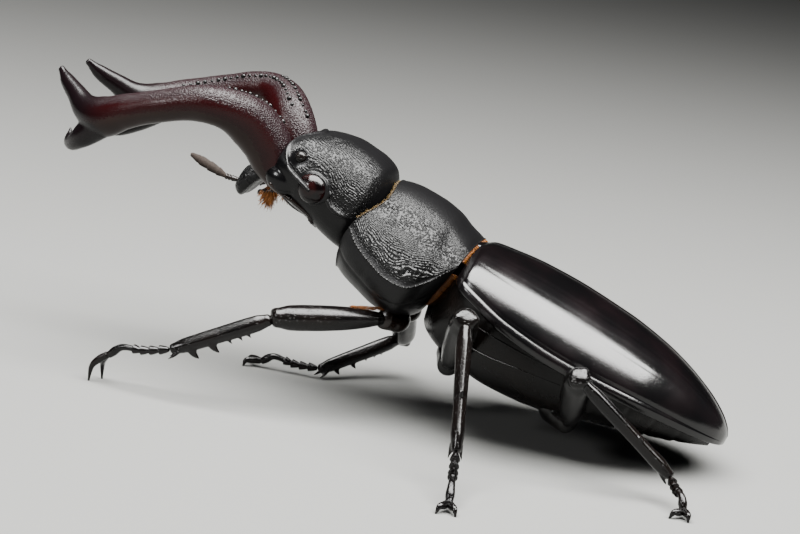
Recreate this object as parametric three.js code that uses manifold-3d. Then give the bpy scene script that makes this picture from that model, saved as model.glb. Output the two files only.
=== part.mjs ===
// A male stag beetle (Hexarthrius rhinoceros) at life size, standing with its head raised.
// Millimetres, +Z up. The beetle faces -Y and its left side is +X. The floor is z = 0.
import * as THREE from 'three';
import { mergeVertices } from 'three/addons/utils/BufferGeometryUtils.js';
import Module from 'manifold-3d';

const wasm = await Module();
wasm.setup();

// ---------------------------------------------------------------- driving sizes
const ELYTRA_LENGTH = 38; // base to apex along the suture
const ELYTRA_HALF_WIDTH = 14;
const ELYTRA_HEIGHT = 7.2; // crown of the dome above the side margin
const ELYTRA_WALL = 1.1; // shell between the dome and the body under it
const BELLY_DEPTH = 9.9; // underside below the side margin
const PRONOTUM_LENGTH = 13.6;
const PRONOTUM_HALF_WIDTH = 10.5;
const HEAD_HALF_WIDTH = 7.4;
const EYE_RADIUS = 1.8;
const SEAM = 0.1; // half of the gap along the suture between the elytra
const JOINT_GAP = 0.22; // clear space round a piece that sits in its neighbour

// Attitude of each part of the trunk to the one behind it: nose up, turn left, lean left (degrees)
const TRUNK_ATTITUDE = { noseUp: 22.5, turn: 0, lean: -9 };
const PROTHORAX_ATTITUDE = { noseUp: 1, turn: 0, lean: 8.5 };
const HEAD_ATTITUDE = { noseUp: 0, turn: -5, lean: 2 };
const PROTHORAX_AT = [0.2, -0.6, -0.2]; // hind edge of the pronotum, in the trunk's frame
const HEAD_AT = [0, -12.6, 0]; // neck, in the prothorax's frame
const FLOOR = -18.6; // floor level in the frame of the trunk's joints

// ---------------------------------------------------------------- finishes
function finish(color, roughness) {
  return new THREE.MeshStandardMaterial({ color, roughness, metalness: 0 });
}
const FINISH = {
  granular: finish(0x1b1b1d, 0.5),
  polished: finish(0x0d0c0d, 0.18),
  wine: finish(0x35100f, 0.3),
  eye: finish(0x2a100b, 0.08),
  felt: finish(0x4a4038, 0.85),
  brush: finish(0xb8641c, 0.8),
};

// ---------------------------------------------------------------- solids
const vector = (values) => new THREE.Vector3(...values);

function bare(geometry) {
  const copy = geometry.clone();
  copy.deleteAttribute('normal');
  copy.deleteAttribute('uv');
  return mergeVertices(copy, 1e-4);
}

function signedVolume(geometry) {
  const position = geometry.attributes.position;
  const index = geometry.index.array;
  const [a, b, c] = [new THREE.Vector3(), new THREE.Vector3(), new THREE.Vector3()];
  let total = 0;
  for (let i = 0; i < index.length; i += 3) {
    a.fromBufferAttribute(position, index[i]);
    b.fromBufferAttribute(position, index[i + 1]);
    c.fromBufferAttribute(position, index[i + 2]);
    total += a.dot(b.cross(c)) / 6;
  }
  return total;
}

function outward(geometry) {
  if (signedVolume(geometry) < 0) {
    const index = geometry.index.array;
    for (let i = 0; i < index.length; i += 3) {
      [index[i], index[i + 1]] = [index[i + 1], index[i]];
    }
  }
  return geometry;
}

// A sphere's net drawn over a shape: place(angle round, row fraction, is the row a pole) gives each point.
function net(around, along, place) {
  const geometry = new THREE.SphereGeometry(1, around, along);
  const position = geometry.attributes.position;
  for (let i = 0; i < position.count; i += 1) {
    const column = (i % (around + 1)) % around;
    const row = Math.floor(i / (around + 1));
    const pole = row === 0 || row === along;
    const fraction = Math.min(Math.max((row - 1) / (along - 2), 0), 1);
    const point = place((column / around) * 2 * Math.PI, fraction, pole);
    position.setXYZ(i, point.x, point.y, point.z);
  }
  return outward(bare(geometry));
}

const power = (value, exponent) => Math.sign(value) * Math.abs(value) ** exponent;

// A smooth run of numbers through evenly spaced values.
function run(values, t) {
  const place = Math.min(Math.max(t, 0), 1) * (values.length - 1);
  const i = Math.min(Math.floor(place), values.length - 2);
  const u = place - i;
  const at = (k) => values[Math.min(Math.max(k, 0), values.length - 1)];
  const slope = (k) => {
    const before = at(k) - at(k - 1);
    const after = at(k + 1) - at(k);
    return before * after <= 0 ? 0 : (2 * before * after) / (before + after);
  };
  const rise = at(i + 1) - at(i);
  const [s0, s1] = [slope(i), slope(i + 1)];
  return at(i) + u * (s0 + u * (3 * rise - 2 * s0 - s1 + u * (s0 + s1 - 2 * rise)));
}

// A body piece along Y from stations [y, half width, side edge height, top, bottom].
// square gives the exponents of its section: above, across the top, below and across the bottom.
// Its two ends are cones to the poles' y, which dish an end where the pole lies inside the body.
function hull(around, along, stations, square, poles, shift = () => 0) {
  const column = (k, t) => run(stations.map((station) => station[k]), t);
  return net(around, along, (angle, t, pole) => {
    const [y, wide, edge, top, bottom] = [0, 1, 2, 3, 4].map((k) => column(k, t));
    if (pole) {
      return new THREE.Vector3(0, poles[Math.round(t)], (top + bottom) / 2);
    }
    const up = Math.sin(angle) >= 0;
    const across = up ? square.acrossTop : square.acrossBottom;
    const x = wide * power(Math.cos(angle), across);
    const lift = up ? (top - edge) * Math.abs(Math.sin(angle)) ** square.above
      : (bottom - edge) * Math.abs(Math.sin(angle)) ** square.below;
    return new THREE.Vector3(x, y + shift(angle, t), edge + lift);
  });
}

// Stations from rows of fractions of the given sizes.
const scaled = (sizes, rows) => rows.map((row) => row.map((value, k) => value * sizes[k]));

// A limb along a curve: radius(t) gives half its depth, flat the ratio of its width to its depth.
function limb(around, along, points, radius, reference, flat = 1) {
  const curve = new THREE.CatmullRomCurve3(points.map(vector), false, 'centripetal');
  return net(around, along, (angle, t, pole) => {
    const centre = curve.getPoint(t);
    if (pole) {
      return centre;
    }
    const tangent = curve.getTangent(t);
    const side = new THREE.Vector3().crossVectors(reference, tangent).normalize();
    const rise = new THREE.Vector3().crossVectors(tangent, side);
    return centre.addScaledVector(side, Math.cos(angle) * radius(t) * flat)
      .addScaledVector(rise, Math.sin(angle) * radius(t));
  });
}

function toSolid(geometry) {
  return new wasm.Manifold(new wasm.Mesh({
    numProp: 3,
    vertProperties: new Float32Array(geometry.attributes.position.array),
    triVerts: new Uint32Array(geometry.index.array),
  }));
}

function fromSolid(solid) {
  const mesh = solid.getMesh();
  const geometry = new THREE.BufferGeometry();
  geometry.setAttribute('position', new THREE.BufferAttribute(new Float32Array(mesh.vertProperties), 3));
  geometry.setIndex(new THREE.BufferAttribute(new Uint32Array(mesh.triVerts), 1));
  return geometry;
}

const join = (...pieces) => fromSolid(pieces.map(toSolid).reduce((whole, piece) => whole.add(piece)));
const cut = (whole, ...pieces) => fromSolid(pieces.map(toSolid)
  .reduce((rest, piece) => rest.subtract(piece), toSolid(whole)));

function swell(geometry, gap) {
  const copy = geometry.clone();
  copy.computeVertexNormals();
  const { position, normal } = copy.attributes;
  for (let i = 0; i < position.count; i += 1) {
    position.setXYZ(
      i,
      position.getX(i) + normal.getX(i) * gap,
      position.getY(i) + normal.getY(i) * gap,
      position.getZ(i) + normal.getZ(i) * gap,
    );
  }
  copy.deleteAttribute('normal');
  return copy;
}

function block(width, depth, height, centre) {
  return bare(new THREE.BoxGeometry(width, depth, height).translate(...centre));
}

function attitude(group, { noseUp, turn, lean }) {
  const radians = THREE.MathUtils.degToRad;
  group.rotation.set(-radians(noseUp), radians(lean), radians(turn), 'XZY');
}

function add(parent, name, geometry, material, mould = geometry) {
  const mesh = new THREE.Mesh(geometry, material);
  mesh.name = name;
  mesh.userData.mould = mould;
  parent.add(mesh);
  return mesh;
}

// Takes each guest, with a gap round it, out of the host.
function seat(host, guests, gap = JOINT_GAP) {
  const home = host.matrixWorld.clone().invert();
  const moulds = guests.map((guest) => swell(guest.userData.mould, gap)
    .applyMatrix4(guest.matrixWorld).applyMatrix4(home));
  host.geometry = cut(host.geometry, ...moulds);
}

const UP = new THREE.Vector3(0, 0, 1);
const BACK = new THREE.Vector3(0, 1, 0);
const SIDES = [['left', 1], ['right', -1]];
const mirrored = (points, side) => points.map(([x, y, z]) => [x * side, y, z]);

// ---------------------------------------------------------------- the frames of the trunk
const animal = new THREE.Group();
const trunk = new THREE.Group();
const prothorax = new THREE.Group();
const head = new THREE.Group();
attitude(trunk, TRUNK_ATTITUDE);
attitude(prothorax, PROTHORAX_ATTITUDE);
attitude(head, HEAD_ATTITUDE);
prothorax.position.set(...PROTHORAX_AT);
head.position.set(...HEAD_AT);
animal.add(trunk);
trunk.add(prothorax);
prothorax.add(head);

// ---------------------------------------------------------------- elytra, hind thorax and abdomen
const DOME = { above: 1, acrossTop: 0.84, below: 0.3, acrossBottom: 1 };
const DOME_STATIONS = scaled([ELYTRA_LENGTH, ELYTRA_HALF_WIDTH, 1, ELYTRA_HEIGHT, 1], [
  [0.0, 0.66, 0.9, 0.67, -0.3],
  [0.03, 0.85, 0.3, 0.79, -0.8],
  [0.1, 0.925, -0.1, 0.87, -1.1],
  [0.22, 0.98, -0.3, 0.96, -1.2],
  [0.37, 1.0, -0.4, 1.0, -1.3],
  [0.52, 0.975, -0.4, 0.985, -1.3],
  [0.66, 0.89, -0.3, 0.91, -1.2],
  [0.79, 0.73, -0.2, 0.755, -1.1],
  [0.9, 0.5, -0.1, 0.51, -0.9],
  [0.97, 0.27, 0.0, 0.27, -0.7],
  [1.0, 0.06, 0.0, 0.09, -0.4],
]);
const dome = hull(20, 13, DOME_STATIONS, DOME, [0, ELYTRA_LENGTH]);
const elytra = SIDES.map(([name, side]) => {
  const spareCentre = [side * (SEAM - ELYTRA_HALF_WIDTH), ELYTRA_LENGTH / 2, 0];
  const spare = block(2 * ELYTRA_HALF_WIDTH, 2 * ELYTRA_LENGTH, 4 * ELYTRA_HEIGHT, spareCentre);
  return add(trunk, `elytron_${name}`, cut(dome, spare), FINISH.polished);
});

const BODY = { above: 1, acrossTop: 0.84, below: 0.95, acrossBottom: 0.85 };
const under = (fraction) => fraction * ELYTRA_HEIGHT - ELYTRA_WALL; // height just under the dome
const HIND_THORAX_STATIONS = scaled([ELYTRA_LENGTH, ELYTRA_HALF_WIDTH, 1, 1, BELLY_DEPTH], [
  [-0.062, 0.19, -0.8, 1.0, -0.27],
  [-0.032, 0.37, -1.0, 2.2, -0.74],
  [0.015, 0.67, -0.6, under(0.61), -0.86],
  [0.1, 0.83, -0.5, under(0.8), -0.95],
  [0.22, 0.9, -0.6, under(0.96), -1.0],
  [0.36, 0.92, -0.7, under(0.995), -0.95],
  [0.51, 0.905, -0.7, under(0.98), -0.81],
]);
const HIND_THORAX_ENDS = [-2.36, 0.51 * ELYTRA_LENGTH];
const hindThorax = add(
  trunk,
  'hind_thorax',
  hull(16, 9, HIND_THORAX_STATIONS, BODY, HIND_THORAX_ENDS),
  FINISH.polished,
);

const ABDOMEN_STATIONS = scaled([ELYTRA_LENGTH, ELYTRA_HALF_WIDTH, 1, 1, BELLY_DEPTH], [
  [0.52, 0.9, -0.7, under(0.975), -0.76],
  [0.6, 0.86, -0.7, under(0.94), -0.67],
  [0.7, 0.77, -0.6, under(0.86), -0.54],
  [0.8, 0.62, -0.5, under(0.73), -0.41],
  [0.9, 0.4, -0.4, under(0.5), -0.26],
  [0.96, 0.16, -0.3, under(0.3), -0.16],
]);
const ABDOMEN_ENDS = [0.52 * ELYTRA_LENGTH, 0.965 * ELYTRA_LENGTH];
const abdomen = add(
  trunk,
  'abdomen',
  hull(16, 8, ABDOMEN_STATIONS, BODY, ABDOMEN_ENDS),
  FINISH.polished,
);

// What the elytra are hollowed for: the hind thorax and abdomen as one.
const CORE_GAP = 0.3;
const CORE_STATIONS = scaled([ELYTRA_LENGTH, ELYTRA_HALF_WIDTH, 1, 1, BELLY_DEPTH], [
  [-0.03, 0.6, -0.9, under(0.6), -0.8],
  [0.1, 0.84, -0.5, under(0.82), -1.0],
  [0.3, 0.92, -0.7, under(0.99), -1.0],
  [0.5, 0.9, -0.7, under(0.98), -0.9],
  [0.68, 0.79, -0.6, under(0.89), -0.7],
  [0.82, 0.6, -0.5, under(0.71), -0.5],
  [0.97, 0.16, -0.3, under(0.28), -0.2],
]);
const CORE_ENDS = [-1.2, 0.98 * ELYTRA_LENGTH];
const core = add(trunk, 'core', hull(16, 9, CORE_STATIONS, BODY, CORE_ENDS), FINISH.polished);

const PLATE = { above: 1, acrossTop: 0.8, below: 0.6, acrossBottom: 0.8 };
const SCUTELLUM_STATIONS = [
  [-0.5, 2.1, 4.2, 4.7, 3.8],
  [0.8, 2.2, 4.5, 5.2, 4.1],
  [2.2, 1.4, 4.9, 5.45, 4.6],
  [3.1, 0.3, 5.1, 5.5, 4.9],
];
const scutellum = add(
  trunk,
  'scutellum',
  hull(8, 5, SCUTELLUM_STATIONS, PLATE, [-0.5, 3.3]),
  FINISH.polished,
);

// ---------------------------------------------------------------- prothorax
const PRONOTUM = { above: 1, acrossTop: 0.9, below: 1, acrossBottom: 1.1 };
const PRONOTUM_STATIONS = scaled([-PRONOTUM_LENGTH, PRONOTUM_HALF_WIDTH, 1, 1, 1], [
  [0.0, 0.8, 2.9, 4.9, -5.6],
  [0.05, 0.84, 1.9, 5.3, -6.6],
  [0.16, 0.89, -0.6, 5.9, -7.7],
  [0.31, 1.0, -2.4, 6.6, -8.5],
  [0.5, 0.96, -2.8, 6.9, -8.8],
  [0.69, 0.89, -2.4, 6.8, -8.4],
  [0.84, 0.81, -1.6, 6.4, -7.9],
  [0.91, 0.75, -0.5, 6.0, -7.4],
]);
const PRONOTUM_SOCKETS = [-3.6, -8.2]; // depth of the hollows that take the hind body and the neck
const CORNER_REACH = 1.4; // front corners ahead of the middle of the front edge
const THROAT_REACH = 2.0; // front edge underneath, ahead of the front edge on top
const NOTCH_REACH = 1.5; // hind edge underneath, ahead of the hind edge on top
const pronotumEdge = (angle, t) => {
  const low = Math.max(-Math.sin(angle), 0);
  const front = Math.max(t - 0.72, 0) / 0.28;
  const hind = Math.max(0.4 - t, 0) / 0.4;
  return -front * (CORNER_REACH * Math.cos(angle) ** 4 + THROAT_REACH * low) - hind * NOTCH_REACH * low;
};
const pronotum = add(
  prothorax,
  'pronotum',
  hull(24, 11, PRONOTUM_STATIONS, PRONOTUM, PRONOTUM_SOCKETS, pronotumEdge),
  FINISH.granular,
);

// ---------------------------------------------------------------- head
const HEAD = { above: 0.9, acrossTop: 0.72, below: 0.85, acrossBottom: 0.75 };
const HEAD_STATIONS = scaled([1, HEAD_HALF_WIDTH, 1, 1, 1], [
  [0.5, 0.5, 0.8, 3.6, -3.0],
  [-0.6, 0.78, 1.0, 5.6, -4.6],
  [-1.8, 0.91, 1.2, 6.8, -5.0],
  [-4.0, 0.96, 1.4, 7.3, -4.7],
  [-6.5, 0.99, 1.5, 7.3, -4.1],
  [-9.0, 1.0, 1.5, 6.8, -3.8],
  [-11.2, 0.98, 1.4, 5.9, -3.3],
  [-12.8, 0.9, 1.3, 4.8, -2.6],
  [-13.5, 0.76, 1.2, 3.6, -1.7],
]);
const headHull = hull(20, 11, HEAD_STATIONS, HEAD, [1.3, -13.5]);

const EYE_AT = [7.0, -7.8, 0.9];
const EYE_FLAT = 0.85; // width across the head to its other two
const EYE_SOCKET = 1.03;
const eyes = SIDES.map(([name, side]) => {
  const ball = outward(bare(new THREE.SphereGeometry(EYE_RADIUS, 10, 6)));
  const socket = outward(bare(new THREE.SphereGeometry(EYE_RADIUS * EYE_SOCKET, 8, 5)));
  const mesh = add(head, `eye_${name}`, ball, FINISH.eye, socket);
  mesh.position.set(...mirrored([EYE_AT], side)[0]);
  mesh.scale.set(EYE_FLAT, 1, 1);
  return mesh;
});

// The canthus, a ridge that runs back from the front corner over the eye.
const canthi = SIDES.map(([, side]) => limb(
  6,
  6,
  mirrored([[6.0, -12.6, 2.6], [7.4, -11.1, 1.7], [8.4, -9.4, 1.2], [8.3, -8.0, 1.0]], side),
  (t) => run([0.5, 0.55, 0.5, 0.3], t),
  UP,
  1.2,
));
const headShell = add(head, 'head', join(headHull, ...canthi), FINISH.granular, headHull);

// ---------------------------------------------------------------- mandibles
// Centre line of the left mandible's shaft and upper prong, then of its lower prong.
const SHAFT = [
  [4.4, -12.0, -0.7], [4.6, -14.1, 0.3], [5.1, -15.8, 1.8], [6.0, -17.8, 2.9], [7.4, -19.6, 3.5],
  [8.7, -21.3, 3.5], [9.5, -23.1, 3.0], [9.7, -25.3, 1.8], [9.7, -27.6, 0.0], [9.4, -30.0, -2.0],
  [8.8, -32.4, -4.2], [7.7, -34.9, -6.7],
];
const UPPER_PRONG = [[6.5, -37.8, -7.5], [5.2, -40.4, -7.1], [4.0, -42.8, -6.7], [3.2, -44.6, -6.1]];
const LOWER_PRONG = [
  [9.0, -32.4, -4.7], [7.8, -34.9, -7.8], [7.0, -36.4, -10.5],
  [5.8, -37.6, -12.4], [4.4, -38.7, -13.0], [3.6, -39.4, -12.1],
];
// Half heights along them, in millimetres.
const SHAFT_RADII = [2.4, 2.75, 3.1, 3.2, 2.95, 2.6, 2.4, 2.2, 2.05, 2.05, 2.25, 2.6, 1.9, 1.3, 0.9, 0.25];
const PRONG_RADII = [1.5, 2.05, 1.75, 1.25, 0.75, 0.2];
const SHAFT_FLAT = 0.82;
const denticle = (point, size, side) => {
  const cone = new THREE.SphereGeometry(size, 4, 3);
  return outward(bare(cone)).translate(point[0] * side, point[1], point[2]);
};

// Each mandible turns on its own hinge, at the root of its shaft. Angles about x, y and z (degrees).
const MANDIBLE_TURN = { left: [0, 0, 0], right: [-1, 4.5, -1.25] };
const TEETH = { count: 7, first: 0.34, step: 0.09, size: 0.5, lift: 0.5, sunk: 0.95 };
const PRONG_FLAT = 0.7;
const ROOT_FULLNESS = 1.04; // the hinge hollow in the head to the mandible's root

const mandibles = SIDES.map(([name, side]) => {
  const radius = (t) => run(SHAFT_RADII, t);
  const shaft = limb(9, 18, mirrored([...SHAFT, ...UPPER_PRONG], side), radius, UP, SHAFT_FLAT);
  const prong = limb(7, 8, mirrored(LOWER_PRONG, side), (t) => run(PRONG_RADII, t), UP, PRONG_FLAT);
  const centreLine = new THREE.CatmullRomCurve3(SHAFT.map(vector), false, 'centripetal');
  const teeth = [];
  for (let k = 0; k < TEETH.count; k += 1) {
    const t = TEETH.first + TEETH.step * k;
    const point = centreLine.getPoint(t);
    const half = run(SHAFT_RADII, (t * (SHAFT.length - 1)) / (SHAFT_RADII.length - 1));
    const reach = half * SHAFT_FLAT * TEETH.sunk;
    teeth.push(denticle([point.x - reach, point.y, point.z + TEETH.lift], TEETH.size, side));
  }
  const rootRadius = (t) => ROOT_FULLNESS * run(SHAFT_RADII.slice(0, 4), t);
  const root = limb(8, 4, mirrored(SHAFT.slice(0, 4), side), rootRadius, UP, SHAFT_FLAT);
  const hinge = vector(mirrored([SHAFT[0]], side)[0]);
  const atHinge = (geometry) => geometry.translate(-hinge.x, -hinge.y, -hinge.z);
  const mandible = add(
    head,
    `mandible_${name}`,
    atHinge(join(shaft, prong, ...teeth)),
    FINISH.wine,
    atHinge(root),
  );
  mandible.position.copy(hinge);
  mandible.rotation.set(...MANDIBLE_TURN[name].map(THREE.MathUtils.degToRad), 'ZYX');
  return mandible;
});

// ---------------------------------------------------------------- mouthparts
const LABRUM_STATIONS = [
  [-14.2, 2.8, -1.4, 0.0, -2.6],
  [-15.1, 2.8, -2.4, -0.8, -4.1],
  [-16.3, 2.7, -3.4, -1.6, -6.2],
  [-17.5, 1.9, -3.9, -2.5, -5.3],
];
add(head, 'labrum', hull(10, 5, LABRUM_STATIONS, PLATE, [-14.2, -17.7]), FINISH.granular);
const MENTUM_STATIONS = [
  [-7.8, 2.4, -4.9, -4.4, -5.3],
  [-9.4, 3.2, -4.8, -4.1, -5.5],
  [-11.3, 2.8, -4.5, -3.8, -5.2],
];
add(head, 'mentum', hull(8, 5, MENTUM_STATIONS, PLATE, [-7.8, -11.3]), FINISH.granular);
const MAXILLA = [[1.8, -13.6, -3.3], [1.9, -13.6, -4.2], [1.8, -13.2, -5.3]];
const MAXILLA_RADII = [0.5, 0.75, 0.8, 0.4];
const PALP = [[3.5, -12.2, -3.7], [3.8, -12.9, -4.2], [3.7, -13.5, -4.7], [3.3, -13.9, -5.2]];
const PALP_RADII = [0.34, 0.4, 0.34, 0.42, 0.25];
for (const [name, side] of SIDES) {
  const brush = limb(6, 6, mirrored(MAXILLA, side), (t) => run(MAXILLA_RADII, t), BACK);
  const palp = limb(6, 7, mirrored(PALP, side), (t) => run(PALP_RADII, t), UP);
  add(head, `maxilla_${name}`, brush, FINISH.brush);
  add(head, `palp_${name}`, palp, FINISH.polished);
}

// ---------------------------------------------------------------- antennae
// The right one reaches forward, the left one is folded under the head.
const ANTENNAE = {
  left: {
    scape: [[7.0, -12.2, -1.7], [6.4, -10.3, -2.5], [5.9, -8.3, -2.8], [5.4, -6.1, -3.4]],
    funicle: [[4.8, -5.7, -4.0], [2.0, -5.6, -4.9]],
    club: [[1.1, -5.8, -5.2], [-3.6, -7.0, -5.1]],
  },
  right: {
    scape: [[-7.0, -12.0, -1.3], [-8.0, -14.2, -4.0], [-7.7, -17.0, -6.8]],
    funicle: [[-7.6, -17.7, -7.3], [-7.5, -20.6, -8.5]],
    club: [[-7.5, -21.6, -8.8], [-8.0, -27.3, -9.2]],
  },
};
const SCAPE_RADII = [0.32, 0.36, 0.42, 0.5, 0.4];
const FUNICLE = { radius: 0.33, bead: 0.12, beads: 4 };
const CLUB_RADII = [0.35, 0.6, 0.66, 0.62, 0.3];
const CLUB = { waist: 0.85, leaves: 6, flat: 0.7 };
const wave = (count, t) => Math.abs(Math.sin(t * count * Math.PI));
const antennae = [];
for (const [name, route] of Object.entries(ANTENNAE)) {
  const scape = limb(6, 7, route.scape, (t) => run(SCAPE_RADII, t), UP);
  const bead = (t) => FUNICLE.radius + FUNICLE.bead * wave(FUNICLE.beads, t);
  const funicle = limb(5, 9, route.funicle, bead, UP);
  const leaf = (t) => CLUB.waist + (1 - CLUB.waist) * wave(CLUB.leaves, t);
  const club = limb(6, 9, route.club, (t) => run(CLUB_RADII, t) * leaf(t), UP, CLUB.flat);
  antennae.push(
    add(head, `scape_${name}`, scape, FINISH.polished),
    add(head, `funicle_${name}`, funicle, FINISH.polished),
    add(head, `club_${name}`, club, FINISH.felt),
  );
}

// ---------------------------------------------------------------- legs
// hip and coxa are in the frame of the ring that carries the leg; knee, ankle, sole and claw in the animal's.
const LEGS = [
  {
    name: 'fore_left', ring: prothorax, hip: [6.2, -4.4, -8.2], coxa: [3.4, -3.4, -8.2],
    knee: [13, -19.9, -6.4], ankle: [15, -31.8, -12.2],
    sole: [13.6, -40.2, -14.8], toe: [12.6, -42, -18.6],
    thick: [1.5, 1.0], teeth: [0.3, 0.44, 0.6, 0.8], tooth: -1.0,
  },
  {
    name: 'fore_right', ring: prothorax, hip: [-6.2, -4.4, -8.2], coxa: [-3.4, -3.4, -8.2],
    knee: [-16.6, -9.6, -13.3], ankle: [-7.4, -18.2, -17.2],
    sole: [-7.6, -26.2, -17.7], toe: [-7.7, -28.4, -18.6],
    thick: [1.5, 1.0], teeth: [0.3, 0.44, 0.6, 0.78], tooth: -0.75,
  },
  {
    name: 'mid_left', ring: trunk, hip: [6.9, 4.6, -9.4], coxa: [4.3, 4.0, -8.6],
    knee: [19, 4.1, -0.9], ankle: [27.8, 6.6, -14.0],
    sole: [35.2, 7.8, -17.7], toe: [37.6, 8.0, -18.6],
    thick: [1.75, 0.95], teeth: [0.55], tooth: 0.6,
  },
  {
    name: 'mid_right', ring: trunk, hip: [-6.9, 4.6, -9.4], coxa: [-4.3, 4.0, -8.6],
    knee: [-19, 2.6, -4.6], ankle: [-26.6, 9.0, -15.8],
    sole: [-32.4, 13.2, -17.7], toe: [-34.2, 14.4, -18.6],
    thick: [1.75, 0.95], teeth: [0.55], tooth: 0.6,
  },
  {
    name: 'hind_left', ring: trunk, hip: [7.6, 20.6, -7.4], coxa: [4.8, 18.0, -7.4],
    knee: [18.4, 18.1, -5.4], ankle: [17.0, 30.1, -15.2],
    sole: [21.0, 32.5, -17.7], toe: [22.8, 32.3, -18.6],
    thick: [1.65, 0.85], teeth: [0.6], tooth: 0.6,
  },
  {
    name: 'hind_right', ring: trunk, hip: [-7.6, 20.6, -7.4], coxa: [-4.8, 18.0, -7.4],
    knee: [-19.6, 15.4, -9.4], ankle: [-22.8, 25.2, -16.0],
    sole: [-25.8, 28.0, -17.7], toe: [-27.4, 29.0, -18.6],
    thick: [1.65, 0.85], teeth: [0.6], tooth: 0.6,
  },
];
animal.updateMatrixWorld(true);

// Lays a mesh, modelled along its own +Z, from one point to another with its +X turned to outer.
function lay(mesh, from, to, outer) {
  const along = to.clone().sub(from).normalize();
  const side = new THREE.Vector3().crossVectors(along, outer).normalize();
  const front = new THREE.Vector3().crossVectors(side, along);
  mesh.position.copy(from);
  mesh.quaternion.setFromRotationMatrix(new THREE.Matrix4().makeBasis(front, side, along));
}

const OUTER = new THREE.Vector3(1, 0, 0);
const FEMUR_RADII = [0.5, 0.72, 0.92, 1.0, 0.98, 0.88, 0.76, 0.68, 0.4];
const TIBIA_RADII = [0.55, 0.78, 0.7, 0.76, 0.84, 0.95, 1.1, 1.2, 0.8];
const COXA_SIZE = [2.4, 1.8, 1.6];
const FEMUR_FLAT = 1.0; // width of a femur to its depth
const TIBIA_FLAT = 0.8;
const SPUR = { root: [-0.3, 0.45, -0.8], tip: [-0.9, 0.8, 0.8], radius: 0.36 }; // from the tibia's end
const PAD = { pads: 0.52, pad: 0.13, least: 0.4, flare: 0.26 }; // four pads fill the first part of a tarsus
const CLAW_SEGMENT_RADII = [0.4, 0.3, 0.32, 0.4];
const CLAW_RADII = [0.22, 0.28, 0.36, 0.28, 0.22];
const CLAW_SPREAD = 1.1; // half of the distance between the two tips
const HIP_CLEARANCE = 0.9; // femur from the coxa's tip
const ANKLE_CLEARANCE = 0.3; // half of the gap from tibia to tarsus, and from tarsus to claws

function straight(length, around, along, radius, flat) {
  return limb(around, along, [[0, 0, 0], [0, 0, length / 2], [0, 0, length]], radius, OUTER, flat);
}

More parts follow.
